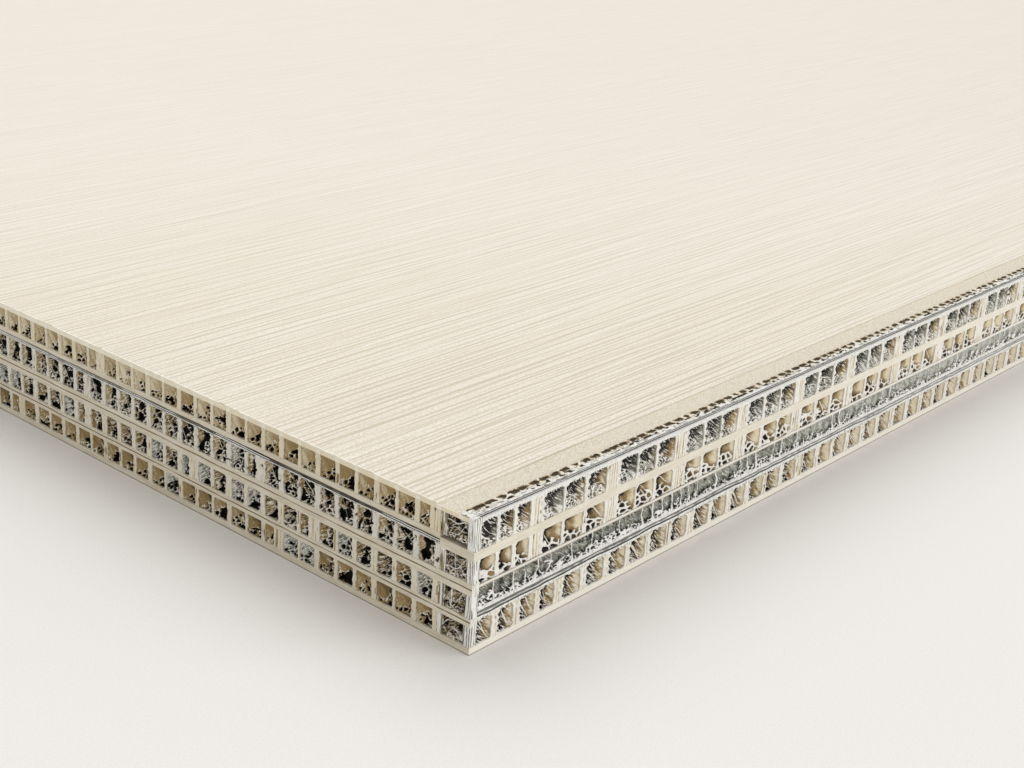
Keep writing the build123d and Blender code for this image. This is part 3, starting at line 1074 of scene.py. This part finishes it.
def front_tier(name, seed, strips, **style):
    """A tier of the front edge. Strips also has the place in a cell where the loose strips start."""
    parts = tier(name, FRONT, seed, fan=(-1.5, 1.5), **style)
    parts += crossing(name, FRONT, seed + 5, *strips, (0.6, 0.1))
    (first, _), (_, back), (base, top) = spans(name)
    cell_end = mouths(name, FRONT)[0, 1]
    parts += body(name, FRONT, cell_end)
    parts.append(block(first, cell_end, behind_wool - 2.2, back, base + 0.02, top - 0.02, (0.5, 0.5, 0)))
    piece(name + "_torn", parts, edge_honeycomb, "edge_honeycomb", name)


def grey_comb(c):
    """Painted shade and light: dark at the near side of each cell and towards its top, a little lighter in the
    last cell of each group and further along the edge.
    """
    group_end = (c.number % group == group - 1).astype(float)
    return 0.06 + 0.5 * c.u - 0.35 * (c.v - 0.5) + 0.12 * group_end + 0.25 * further(c.across)


# Painted light and shade: each tier's light makes the far side of a cell lighter, its near side darker and the
# cells lighter further along the edge. The second tier is painted darker at its foot behind the lace, and the
# lowest lighter towards its top.
front_tier(
    "edge_core_1", comb_seed, (2.2, 0.1, (-0.8, 0.45)), light=grey_comb, pore=1.1, wall=0.06,
    tear=lambda c: 1.5 - 1.4 * c.v + 0.8 * c.u + 0.8 * (c.rough(1.6, 11) - 0.5),
    coat=lambda c: 0.95 - 0.3 * (c.number % group), smooth=0.2, scallop=1.1, contrast=0.9,
    frayed=lambda c: 0.2 * step(c.v + 0.15 * c.u, 0.65, 0.2), mouth=(0.0, 0.9, 0.4), skin=(0.85, 0.5),
    lace=lambda c: (0.34 - c.v - 0.3 * c.u + 0.45 * (c.rough(2.2, 14) - 0.5)) * 5,
    lace_pore=(1.5, 0.9), lace_wall=0.08,
)
front_tier(
    "edge_core_2", 61, (0.8, 0.15, (-0.8, 0.85)), pore=2.0, tear=lambda c: 0.8 + 0.5 * c.u,
    light=lambda c: 0.44 + 0.6 * c.u - 0.5 * step(c.v, 0.5, 0.1) + 0.2 * further(c.across),
    coat=lambda c: 0.05, smooth=0.6, scallop=0.4, contrast=0.5, frayed=lambda c: 0.1,
    mouth=(0.0, 1.0, 0.4), skin=(0.8, 0.5),
    lace=lambda c: (0.48 - c.v - 0.15 * c.u + 0.5 * (c.rough(2.8, 15) - 0.5)) * 5,
    lace_pore=(3.1, 2.1), lace_wall=0.1,
)
front_tier(
    "edge_core_4", 71, (1.5, 0.2, (-0.8, 0.85)), pore=1.6, wall=0.08,
    tear=lambda c: 0.15 + 0.9 * c.v + 0.7 * c.u - 0.4 * c.dice(6),
    light=lambda c: 0.34 + 0.75 * c.u + 0.2 * (c.v - 0.5) + 0.4 * further(c.across),
    coat=lambda c: 0.05, scallop=0.8, contrast=1.0, frayed=lambda c: 0.05,
    mouth=(0.3, 0.8, 0.5), skin=(0.6, 0.45),
)

# %% [markdown]
# ## Papers and foils
#
# Each paper and foil shows only its cut edge, half a millimetre high. A flat strip with a wavy picture would
# look the same from the front, but not from above. So each is a relief one grid wide: the papers are a little
# ragged and lie just behind the foils, which the saw has pulled into shallow waves. Papers between two foils
# share their waves.

# %% Thin layers
thin_finish = {"white_paper": white_paper, "foil": foil}


def strip(name, along, kind, set_back, look, seed, wave=0.0, pinched=0.0, painted_far_light=0.0):
    """A thin layer with a ragged, wandering front and a plain slab behind it.

    Where it is pinched it goes dark, and further along the edge it is painted paler, a painted brightening with
    distance, or darker where that amount is below zero.
    """
    side, (first, last) = (front, left)[along], span(name, along)
    (base, top), (face, back) = span(name, 2), span(name, 1 - along)
    s = np.concatenate([lines(first, seen[along], 0.5 * coarse, 0.0004), lines(seen[along], last, 4)[1:]])
    across, up = grid(s, base + (top - base) * np.array([0, 0.4, 0.8, 1]))
    ragged = hills(across / 0.8, up / 0.6, seed) * 0.6 + hills(across / 5, 0 * up, seed + 1) * 0.4
    wander = 0.7 * hills(across / 17, 0 * up, seed + 2) + 0.3 * hills(across / 4, 0 * up, seed + 3) - 0.5
    depth = face + set_back[0] + (set_back[1] - set_back[0]) * ragged
    pale = look[0] + 0.5 * (hills(across / 2, up / 0.4, seed + 4) - 0.5)
    if kind == "foil":  # a foil's edge is dark under a painted highlight on its upper rim
        pale = look[0] * np.where(up > top - 0.01, 1.0, 0.1)
    closed = pinched * step(hills(across / 24, 0 * up, seed + 5), 0.42, 0.6) * (1 - further(across))
    # Painted light: further along the edge the layer is painted paler, a painted brightening with distance, and
    # darker where the amount is below zero.
    pale = pale - closed + painted_far_light * further(across)
    reach = face + 1.2
    cut = relief(side, across, up + 2 * wave * wander, depth, (pale, look[1], look[2] - closed), reach + 0.1)
    rest = slab(along, first, last, reach, back, base, top, look)
    piece(name + "_cut", [cut, rest], thin_finish[kind], kind, name)


# %% Thin layers of the left edge
left_waves = (81, 0.3)  # a seed, and how high the waves are
strip("paper_1_low", LEFT, "white_paper", (0.1, 0.35), (0.85, 0.6, 0.55), 81)
strip("paper_1_mid", LEFT, "white_paper", (0.0, 0.05), (0.95, 0.6, 0.8), *left_waves, pinched=0.7, painted_far_light=0.5)
for name in ("foil_1_upper", "foil_1_lower"):
    strip(name, LEFT, "foil", (0.0, 0.02), (0.0, 1, 0), *left_waves, painted_far_light=0.9)

# %% Thin layers of the front edge
upper_waves, lower_waves = (98, 0.25), (97, 0.5)
for name, seed in (("edge_paper_3_low", 91), ("edge_paper_3_high", 93)):
    strip(name, FRONT, "white_paper", (0.05, 0.4), (0.8, 0.6, 0.62), seed)
strip("edge_paper_3_mid", FRONT, "white_paper", (0.0, 0.05), (0.8, 0.9, 0.15), *lower_waves)
for name in ("edge_foil_2_lower", "edge_foil_2_upper"):
    strip(name, FRONT, "foil", (0.0, 0.08), (0.7, 1, 0), *lower_waves, painted_far_light=0.45)
strip("edge_paper_mid", FRONT, "white_paper", (0.0, 0.05), (1.0, 0.6, 1.0), *upper_waves)
for name, light in (("edge_foil_1_lower", 0.0), ("edge_foil_1_upper", 1.0)):
    strip(name, FRONT, "foil", (0.0, 0.08), (light, 1, 0), *upper_waves, painted_far_light=-0.4)


# %% [markdown]
# The lowest paper of the lip is eaten away above each cell, in the same lobes as the dark shapes below it, so
# it needs the cutting tool and the cells of the tier under it.


# %% The paper above the cells
def lip_lines(first, last):
    """Grid lines for the pieces of the lip, fine near the corner and wide further away."""
    return lines(first, seen[FRONT], 0.32 * coarse, 0.001), lines(seen[FRONT], last, 2)


(first, last), (y0, y1), (base, top) = spans("edge_paper_low")
parts = [
    block(first, last, y0 + 0.9, y1, base, top - 0.12, shadow),
    block(first, last, y0 + 0.2, y1, top - 0.12, top - 0.01, (0.85, 0.6, 0.6)),
]
for s in lip_lines(first, last):
    cells = Cells("edge_core_1", FRONT, s, np.linspace(base, top, 4), comb_seed)
    lobes = 0.55 * np.abs(np.sin(cells.across * 2.9 + 4 * cells.rough(3, 9)))
    lobes = lobes * step(np.abs(cells.u), 0.95, 0.75)
    keep = cells.up - base - lobes * (0.6 + 0.6 * cells.rough(1.2, 8)) + 0.06
    look = (0.8 + 0.4 * (cells.rough(0.7, 7) - 0.5), 0.6, 0.45 + 0.4 * cells.rough(1.0, 6))
    rings = [(0.4, 0, 0.5, 0.4), (0.4, 0, 0, 0)]
    parts.append(cells.cut(keep, 0.03 + 0.2 * cells.rough(0.9, 5), look, rings))
piece("edge_paper_low_cut", parts, white_paper, "white_paper", "edge_paper_low")

# %% [markdown]
# ## The torn lip on the front edge
#
# Seen from above, the front edge ends in a narrow lip: a fluted paper whose openings show as a row of dark
# dashes, then white paper torn along its front, with specks where it is torn through to a floor painted dark as
# shade. The dashes could be painted on a flat strip. They are cut out instead, so that their dark comes from a
# real hollow and moves with the light, over a floor that is painted dark as shade.

# %% Fluted paper
parts, dash_pitch = [], 4.6
(first, last), (y0, y1), (base, _) = spans("edge_flute")
t = np.linspace(y0, y1, 8)
for s in lip_lines(first, last):
    across, back = grid(s, t)
    number = np.floor(across / dash_pitch)
    chance, shift, side_step = (dice(number, k, 103) for k in (1, 2, 3))
    reach = (0.8 + 0.6 * dice(number, 0, 103) - 0.4 * further(across)) * (chance < 0.93)
    away = np.abs(across / dash_pitch - number - 0.5 - 0.2 * (shift - 0.5)) * dash_pitch - reach
    row = y1 - 1.0 + 0.4 * (side_step - 0.5)
    holes = np.hypot(np.maximum(away, 0), back - row) - 0.62 - 0.2 * step(away, 0, -0.6)
    holes = holes + 1.0 * (hills(across / 0.7, back / 0.6, 105) - 0.5)
    holes = holes + 0.8 * (hills(across / 0.4, back / 0.4, 104) - 0.5)
    torn = step(holes, 0.1, 0.7) * (0.2 + 0.6 * hills(across / 1.2, back / 1.2, 106))
    look = (0.1 + 0.7 * step(holes, 0.1, 0.6) + 0.4 * hills(across / 1.1, back / 0.7, 107), 0, torn)
    depth = 0.12 * hills(across / 0.8, back / 0.8, 108) + 0.1 * step(holes, 0.3, 0)
    parts.append(cut_sheet(above, s, t, holes, depth, look, [(0.12, 0.02, 0.6, 0.6), (0.2, 0, 0.1, 0)]))
# Painted shade: a dark floor at the foot of the fluted paper, seen through its openings.
parts.append(block(first, last, y0, y1, base, base + 0.02, (0.08, 0, 0)))
piece("edge_flute_open", parts, fluted, "fluted_paper", "edge_flute")

# %% Torn paper of the lip
parts = []
(first, last), (y0, y1), (base, _) = spans("edge_paper_top")
t = np.linspace(y0, y1, 8)
for s in lip_lines(first, last):
    across, back = grid(s, t)
    keep = back - y0 - 0.5 * hills(across / 1.1, 0 * back, 111) - 0.3 * hills(across / 4, 0 * back, 112) + 0.1
    specks = 0.66 - hills(across / 1.4, back / 0.75, 113) - 0.25 * hills(across / 4, back / 3, 114)
    keep = np.minimum(keep, specks + step(back - y0, 0.9, 0.4))
    light, torn = hills(across / 1.2, back / 0.9, 115), hills(across / 1.1, back / 0.8, 116)
    look = (1.0 - 0.5 * light, 0.5, 0.3 + 0.6 * torn)
    depth = 0.2 * hills(across / 0.9, back / 0.7, 117)
    parts.append(cut_sheet(above, s, t, keep, depth, look, [(0.3, 0.0, 0.5, 0.5)]))
# Painted shade: a dark floor under the torn paper, seen through its specks.
parts.append(block(first, last, y0 + 0.9, y1, base, base + 0.02, (0.1, 0.1, -1)))
piece("edge_paper_top_torn", parts, white_paper, "white_paper", "edge_paper_top")

# %% [markdown]
# ## Wool and webs
#
# Grey wool fills the third tier of the front edge, behind thin upright webs of torn white paper that widen
# into a lace at their foot. Hair particles would give real fibres, but far too many of them for a strip this
# thin. So the wool is a surface of small lumps, brushed in changing directions and pressed in at each web.

# %% Where the webs stand
web_pitch = 4.92


def sway_of(across, up):
    """The place along the edge, bent so that the webs lean and curve."""
    curve = 0.5 * np.sin(up / 1.9 + 5 * hills(across / 9, 0 * up, 125))
    return across + curve + 2.6 * hills(across / 8, up / 9, 126)


print("webs on the front edge: about", int(length / web_pitch))

# %% Wool strip
parts, (first, last), (y0, y1), (base, top) = [], *spans("edge_wool")
for s, z, _ in zones("edge_wool", FRONT):
    across, up = grid(s, z)
    v = (up - base) / (top - base)
    lumps = hills(across / 2.3, up / 1.9, 121)
    leaning = across + (1.0 + 0.8 * (hills(across / 9, 0 * up, 122) - 0.5)) * up
    combed = hills(leaning / 0.42, up / 2.0, 123) * 0.6 + hills(leaning / 0.25, up / 1.2, 124) * 0.4
    bay = (sway_of(across, up) / web_pitch) % 1
    pillow = np.sin(np.pi * bay) ** 0.5 * np.sin(np.pi * np.clip(0.15 + 0.8 * v, 0, 1))
    depth = y0 + 0.35 * lumps + 0.3 * combed + 0.45 * (1 - pillow) - 0.3
    # Painted light and shade: each lump of wool is lit in the middle of its bay and shaded towards the webs,
    # and lighter on the side away from the corner. It darkens under the liner at the top and behind the lace at
    # the foot, and is painted lighter further along the edge.
    shade = 0.3 + 0.9 * (combed - 0.5) + 0.4 * (lumps - 0.5) + 0.3 * pillow + 0.2 * (bay - 0.5)
    shade = shade - 0.3 * step(v, 0.8, 1.0)
    shade += 0.6 * further(across) - 0.05 - 0.4 * step(v, 0.4, 0.1)
    parts.append(cut_sheet(front, s, z, np.ones_like(up), depth, (shade, 1, step(combed, 0.6, 0.9) * 0.6)))
parts.append(block(first, last, y0 + 0.8, y1, base, top, (0.3, 1, 0)))
piece("edge_wool_combed", parts, wool, "wool", "edge_wool")

# %% Webs in front of the wool
parts = []
for s, z, blur in zones("edge_wool", FRONT):
    across, up = grid(s, z)
    v = (up - base) / (top - base)
    webs_along = sway_of(across, up) / web_pitch
    from_web = np.abs(webs_along % 1 - np.round(webs_along % 1)) * web_pitch
    thickness = 0.02 + 0.3 * dice(np.round(webs_along), 1, 127)
    thickness = thickness + 0.12 * step(v, 0.4, 0.0) + 0.1 * step(v, 0.8, 1)
    wide, tall = 2.1 * blur, 1.1 * blur
    net = 0.09 * (0.4 + hills(across / 1.6, up / 1.6, 132)) - pores((across + 0.6 * up) / wide, up / tall, 128)
    net = np.minimum(net * tall, (0.4 - v + 0.6 * (hills(across / 2.6, up / 2.6, 129) - 0.5)) * 5)
    keep = np.maximum(np.maximum(thickness - from_web, net), (0.03 - v) * 6)
    depth = 0.05 + 0.6 * hills(across / 1.6, up / 1.6, 131)
    look = (0.85, 0.8, 0.5 + 0.5 * hills(across / 0.7, up / 0.7, 130))
    parts.append(cut_sheet(front, s, z, keep, depth, look, thread_rings))
piece("edge_web_torn", parts, webs, "webs", "edge_web")

# %% [markdown]
# ## The near corner
#
# A bundle of upright paper strips stands at the corner in each tier. Modelled strip by strip it would need
# hundreds of faces for something a few pixels wide, so it is one sheet bent round the corner, with grooves
# between the strips.


# %% Corner bundles
bundle_rings = [(0.5, 0, 0.6, 0.5)]


def bundle(k):
    """One bundle. Only the highest has a ragged top, because only its top shows."""
    name = f"corner_post_{k}"
    (_, last), _, (base, top) = spans(name)
    t, z = np.linspace(-last, last, 45), np.linspace(base, top, 22)
    across, up = grid(t, z)
    stripes = 1 - step(np.cos(6.1 * across + 6 * hills(up / 5, across / 1.5, 145 + k)), 0.5, 0.9)
    stripes = 1 - (1 - stripes) * step(hills(across / 1.1, up / 4, 147 + k), 0.3, 0.6)
    stripes = 0.7 * stripes + 0.3 * hills(across / 0.4, up / 6, 140 + k)
    depth = 0.03 + 0.35 * (1 - stripes) ** 2 + 0.1 * hills(across / 0.5, up / 0.8, 150 + k)
    ragged_top = top - up - 0.9 * hills(across / 0.5, 0 * up, 160 + k)
    keep = ragged_top if k == 1 else np.ones_like(up)
    look = (1.05 - 0.9 * (1 - stripes), 0.6, 1.7 * stripes - 0.5)
    parts = [cut_sheet(around, t, z, keep, depth, look, bundle_rings)]
    parts.append(block(0.6, last, 0.6, last, base, top - 0.3 * (k == 1), (0.8, 0.7, 0.8)))
    piece(name + "_frayed", parts, white_paper, "white_paper", name)


for k in (1, 2, 3, 4):
    bundle(k)

# %% [markdown]
# Between the bundle and the honeycomb lies a corner cell that is open on both edges. The model leaves it
# empty. On the left edge it shows a crumpled brown wall, a frayed upright, white strands that cross it and a
# lace of torn paper at its foot. Where the strands run is easy to see on the real panel, so each one is given
# by its two ends in the cell's own frame, and by half its width.

# %% Corner cells
strands = {  # first end, second end, half the width
    1: (
        (0, 0.93, 1, 0.7, 0.22), (0.1, 0.8, 0.95, 0.2, 0.1), (0, 0.5, 0.9, 0.42, 0.08),
        (0, 0.3, 0.55, 0.02, 0.1), (0.35, 1, 0, 0.6, 0.1),
    ),
    2: (
        (0.55, 1, 0.5, 0, 0.12), (0, 0.85, 1, 0.3, 0.13), (0, 0.6, 1, 0.75, 0.08),
        (0, 0.2, 0.6, 0.55, 0.1), (0.2, 0, 1, 0.6, 0.1),
    ),
    3: ((0.62, 1, 0.66, 0, 0.3), (0, 0.2, 0.5, 0.05, 0.1), (0.1, 1, 0.3, 0.5, 0.08), (0.7, 0.6, 1, 0.3, 0.1)),
    4: (
        (0, 0.3, 0.62, 0.5, 0.12), (0, 0.2, 0.65, 0.36, 0.12), (0, 0.1, 0.6, 0.22, 0.1),
        (0, 0.44, 0.55, 0.62, 0.09), (1, 0.5, 0.5, 0.95, 0.12),
    ),
}
upright_from, upright_to = behind_wool - 2.3, behind_wool + 0.1


def strand_parts(k, start, base, top):
    """Each strand of a corner cell, and a thinner twin beside it."""
    parts, t = [], np.linspace(0, 1, 14)
    for n, (u0, v0, u1, v1, half) in enumerate(strands[k]):
        for twin in (0, 1):
            bow = 0.5 * (dice(n, k, 230 + twin) - 0.5) * 4 * t * (1 - t) + 0.05 * np.sin(9 * t + n + 2 * twin)
            across = start + (upright_from + 0.4 - start) * (u0 + (u1 - u0) * t)
            up = base + (top - base) * np.clip(v0 + (v1 - v0 * (1 - 0.5 * twin)) * t + bow, 0.03, 0.97)
            thin = half * (0.75 - 0.35 * twin) * (0.6 + 0.6 * np.sin(np.pi * t))
            look = (0.85 - 0.3 * twin, 0.5, 0.7 - 0.5 * twin)
            parts.append(ribbon(left, across, up, 0.15 + 0.5 * dice(n, k, 231) * t, thin, look))
    return parts


def corner_cell(k):
    """One corner cell: what is seen of it on the left edge."""
    start, (base, top) = span(f"corner_post_{k}", 0)[1], span(f"core_{k}", 2)
    z = np.linspace(base, top, 26)

    # The crumpled wall and the frayed upright
    s = lines(start, upright_to, 0.25 * coarse)
    across, up = grid(s, z)
    u, v = (across - start) / (upright_from - start), (up - base) / (top - base)
    crumpled = hills(across / 1.3, up / 1.1, 170 + k)
    combed = hills((across + 0.5 * up) / 0.4, up / 3.0, 180 + k)
    holes = 0.55 - hills(across / 1.7, up / 1.4, 190 + k) + 0.25 * u
    tan_side = step(u, 0.55, 0.75) if k == 3 else 0.4 * step(v, 0.4, 0.0)
    look = (0.2 + 0.6 * (combed - 0.5) + 0.25 * crumpled + 0.35 * tan_side, 0.3, step(holes, 0.12, 0) * 0.4)
    parts = [cut_sheet(left, s, z, holes, 1.0 + 0.9 * (1 - u) + 0.5 * crumpled, look, [(0.5, 0, 0, 0)])]
    fibres = hills(across / 0.36, up / 5, 210 + k)
    upright = 1.2 - np.abs(across - (upright_from + upright_to) / 2)
    upright = upright - 0.7 * (hills(across / 0.5, up / 1.2, 200 + k) - 0.3)
    look = (0.95 - 0.7 * (1 - fibres) ** 1.5, 0.5, 1.2 * fibres - 0.1)
    parts.append(cut_sheet(left, s, z, upright, 0.02 + 0.5 * (1 - fibres) ** 2, look, bundle_rings))
    parts += strand_parts(k, start, base, top)

    # The lace at the foot, and the floor and ceiling of the cell, painted dark as shade
    s = lines(start, upright_from, 0.25 * coarse)
    across, up = grid(s, z)
    v = (up - base) / (top - base)
    net = 0.11 * (0.4 + hills(across / 1.4, up / 1.4, 250 + k))
    net = net - pores((across - 0.6 * up) / 1.5, up / 1.1, 260 + k)
    net = np.minimum(net, (0.3 - v + 0.7 * (hills(across / 2.2, up / 2.2, 270 + k) - 0.5)) * 5)
    look = (0.75, 0.4, 0.1 + 0.7 * hills(across / 0.7, up / 0.7, 280 + k))
    depth = 0.15 + 0.6 * hills(across / 1.2, up / 1.2, 290 + k)
    parts.append(cut_sheet(left, s, z, net, depth, look, thread_rings))
    parts.append(block(1.0, 5.0, start, upright_from, base + 0.01, base + 0.04, (0.2, 0.3, 0)))
    parts.append(block(1.0, 5.0, start, upright_from, top - 0.04, top - 0.01, shadow))
    piece(f"corner_cell_{k}", parts, webs, "webs")


for k in strands:
    corner_cell(k)

# %% [markdown]
# At the corner the lip's paper is torn off and leaves a tuft that lies over the end of the fluted paper. It
# could be folded out of a few faces, but its ragged outline and its holes are what shows of it, so it is cut
# like the lip.

# %% The torn end of the lip
s, t = np.linspace(0.15, 4.6, 19), np.linspace(1.9, 6.4, 19)
across, back = grid(s, t)
patch = 0.6 - hills(across / 0.9, back / 0.8, 240) + 0.4 * step(np.hypot(across - 1.6, back - 3.6), 1.2, 0.2)
outline = 2.2 - np.hypot((across - 2.2) / 1.2, back - 4.0) + 0.8 * (hills(across / 0.6, back / 0.6, 241) - 0.5)
light, torn = hills(across / 0.5, back / 0.5, 242), hills(across / 0.6, back / 0.6, 243)
look = (0.95 - 0.4 * light, 0.5, 0.4 + 0.6 * torn)
depth = 0.02 + 0.3 * hills(across / 0.8, back / 0.8, 244)
tuft = cut_sheet(above, s, t, np.minimum(patch, outline), depth, look, [(0.18, 0, 0.3, 0.2)])
piece("corner_tuft", [tuft], white_paper, "white_paper")

# %% [markdown]
# ## Studio
#
# The camera stands where the photograph was taken from: close to the corner, a little above the panel, and
# turned slightly about its own axis. Blender can track an object with a constraint, but a photograph is
# matched by its own angles, so the camera's three directions are worked out and set as one matrix.

# %% Camera
picture_width, focal_length, sensor = 1024, 1610.226, 36.0  # pixels, pixels, millimetres
stand = Vector((-0.29088, -0.25529, 0.23555)) + Vector(corner)
yaw, pitch, roll = 0.869284, 0.378206, 0.0622004
ahead = Vector((math.sin(yaw) * math.cos(pitch), math.cos(yaw) * math.cos(pitch), -math.sin(pitch)))
level = Vector((math.cos(yaw), -math.sin(yaw), 0))
upward = level.cross(ahead)
camera_x = math.cos(roll) * level + math.sin(roll) * upward
camera_y = math.cos(roll) * upward - math.sin(roll) * level
turn = Matrix((camera_x, camera_y, -ahead)).transposed().to_4x4()
camera = bpy.data.objects.new("camera", bpy.data.cameras.new("camera"))
camera.data.sensor_width = sensor
camera.data.lens = sensor * focal_length / picture_width
camera.data.clip_start, camera.data.clip_end = 0.01, 50.0
camera.matrix_world = Matrix.Translation(stand) @ turn
bpy.context.scene.collection.objects.link(camera)
bpy.context.scene.camera = camera
bpy.context.scene.view_settings.view_transform = "Standard"
print("camera", [round(x, 3) for x in stand], "lens", round(camera.data.lens, 2))

# %% [markdown]
# The panel lies on a plain pale floor. A backdrop bent up behind it would hide the panel from the back, so
# the floor is one flat square. It reaches far out, so that low views show no end of it.

# %% Floor
far = 40.0  # metres
floor_mesh = bpy.data.meshes.new("floor")
floor_mesh.from_pydata([(-far, -far, 0), (far, -far, 0), (far, far, 0), (-far, far, 0)], [], [(0, 1, 2, 3)])
floor = bpy.data.objects.new("floor", floor_mesh)
bpy.context.scene.collection.objects.link(floor)


def floor_paint(place, look):
    grit = place.noise((1.6, 1.6, 1.6), 2.0)
    return {"Base Color": grit.ramp(0.3, 0.7).mix(tone(235, 233, 229), tone(241, 239, 236)), "Roughness": 0.95}


floor_mesh.materials.append(finish("floor", floor_paint))

# %% [markdown]
# Two wide lamps and an even daylight make soft studio light. Area lamps would do as well, but sun lamps light
# every part of a large panel alike. The key comes from behind and lays the shadow in front of the panel. The
# fill comes low from the right, so the front edge is brighter than the left one.

# %% Lamps and daylight
lamp_width, daylight = 0.9, 0.6
for name, energy, towards in (("key", 1.2, (0.35, 0.50, 0.80)), ("fill", 1.2, (0.50, -0.85, 0.30))):
    lamp = bpy.data.objects.new(name, bpy.data.lights.new(name, "SUN"))
    lamp.data.energy, lamp.data.angle = energy, lamp_width
    lamp.rotation_mode = "QUATERNION"
    lamp.rotation_quaternion = Vector(towards).to_track_quat("Z", "Y")
    bpy.context.scene.collection.objects.link(lamp)
    print("lamp", name, energy)

world = bpy.data.worlds.new("daylight")
bpy.context.scene.world = world
world.use_nodes = True
sky = world.node_tree.nodes["Background"].inputs
sky["Color"].default_value, sky["Strength"].default_value = (1.0, 0.985, 0.962, 1.0), daylight
print("daylight", daylight)
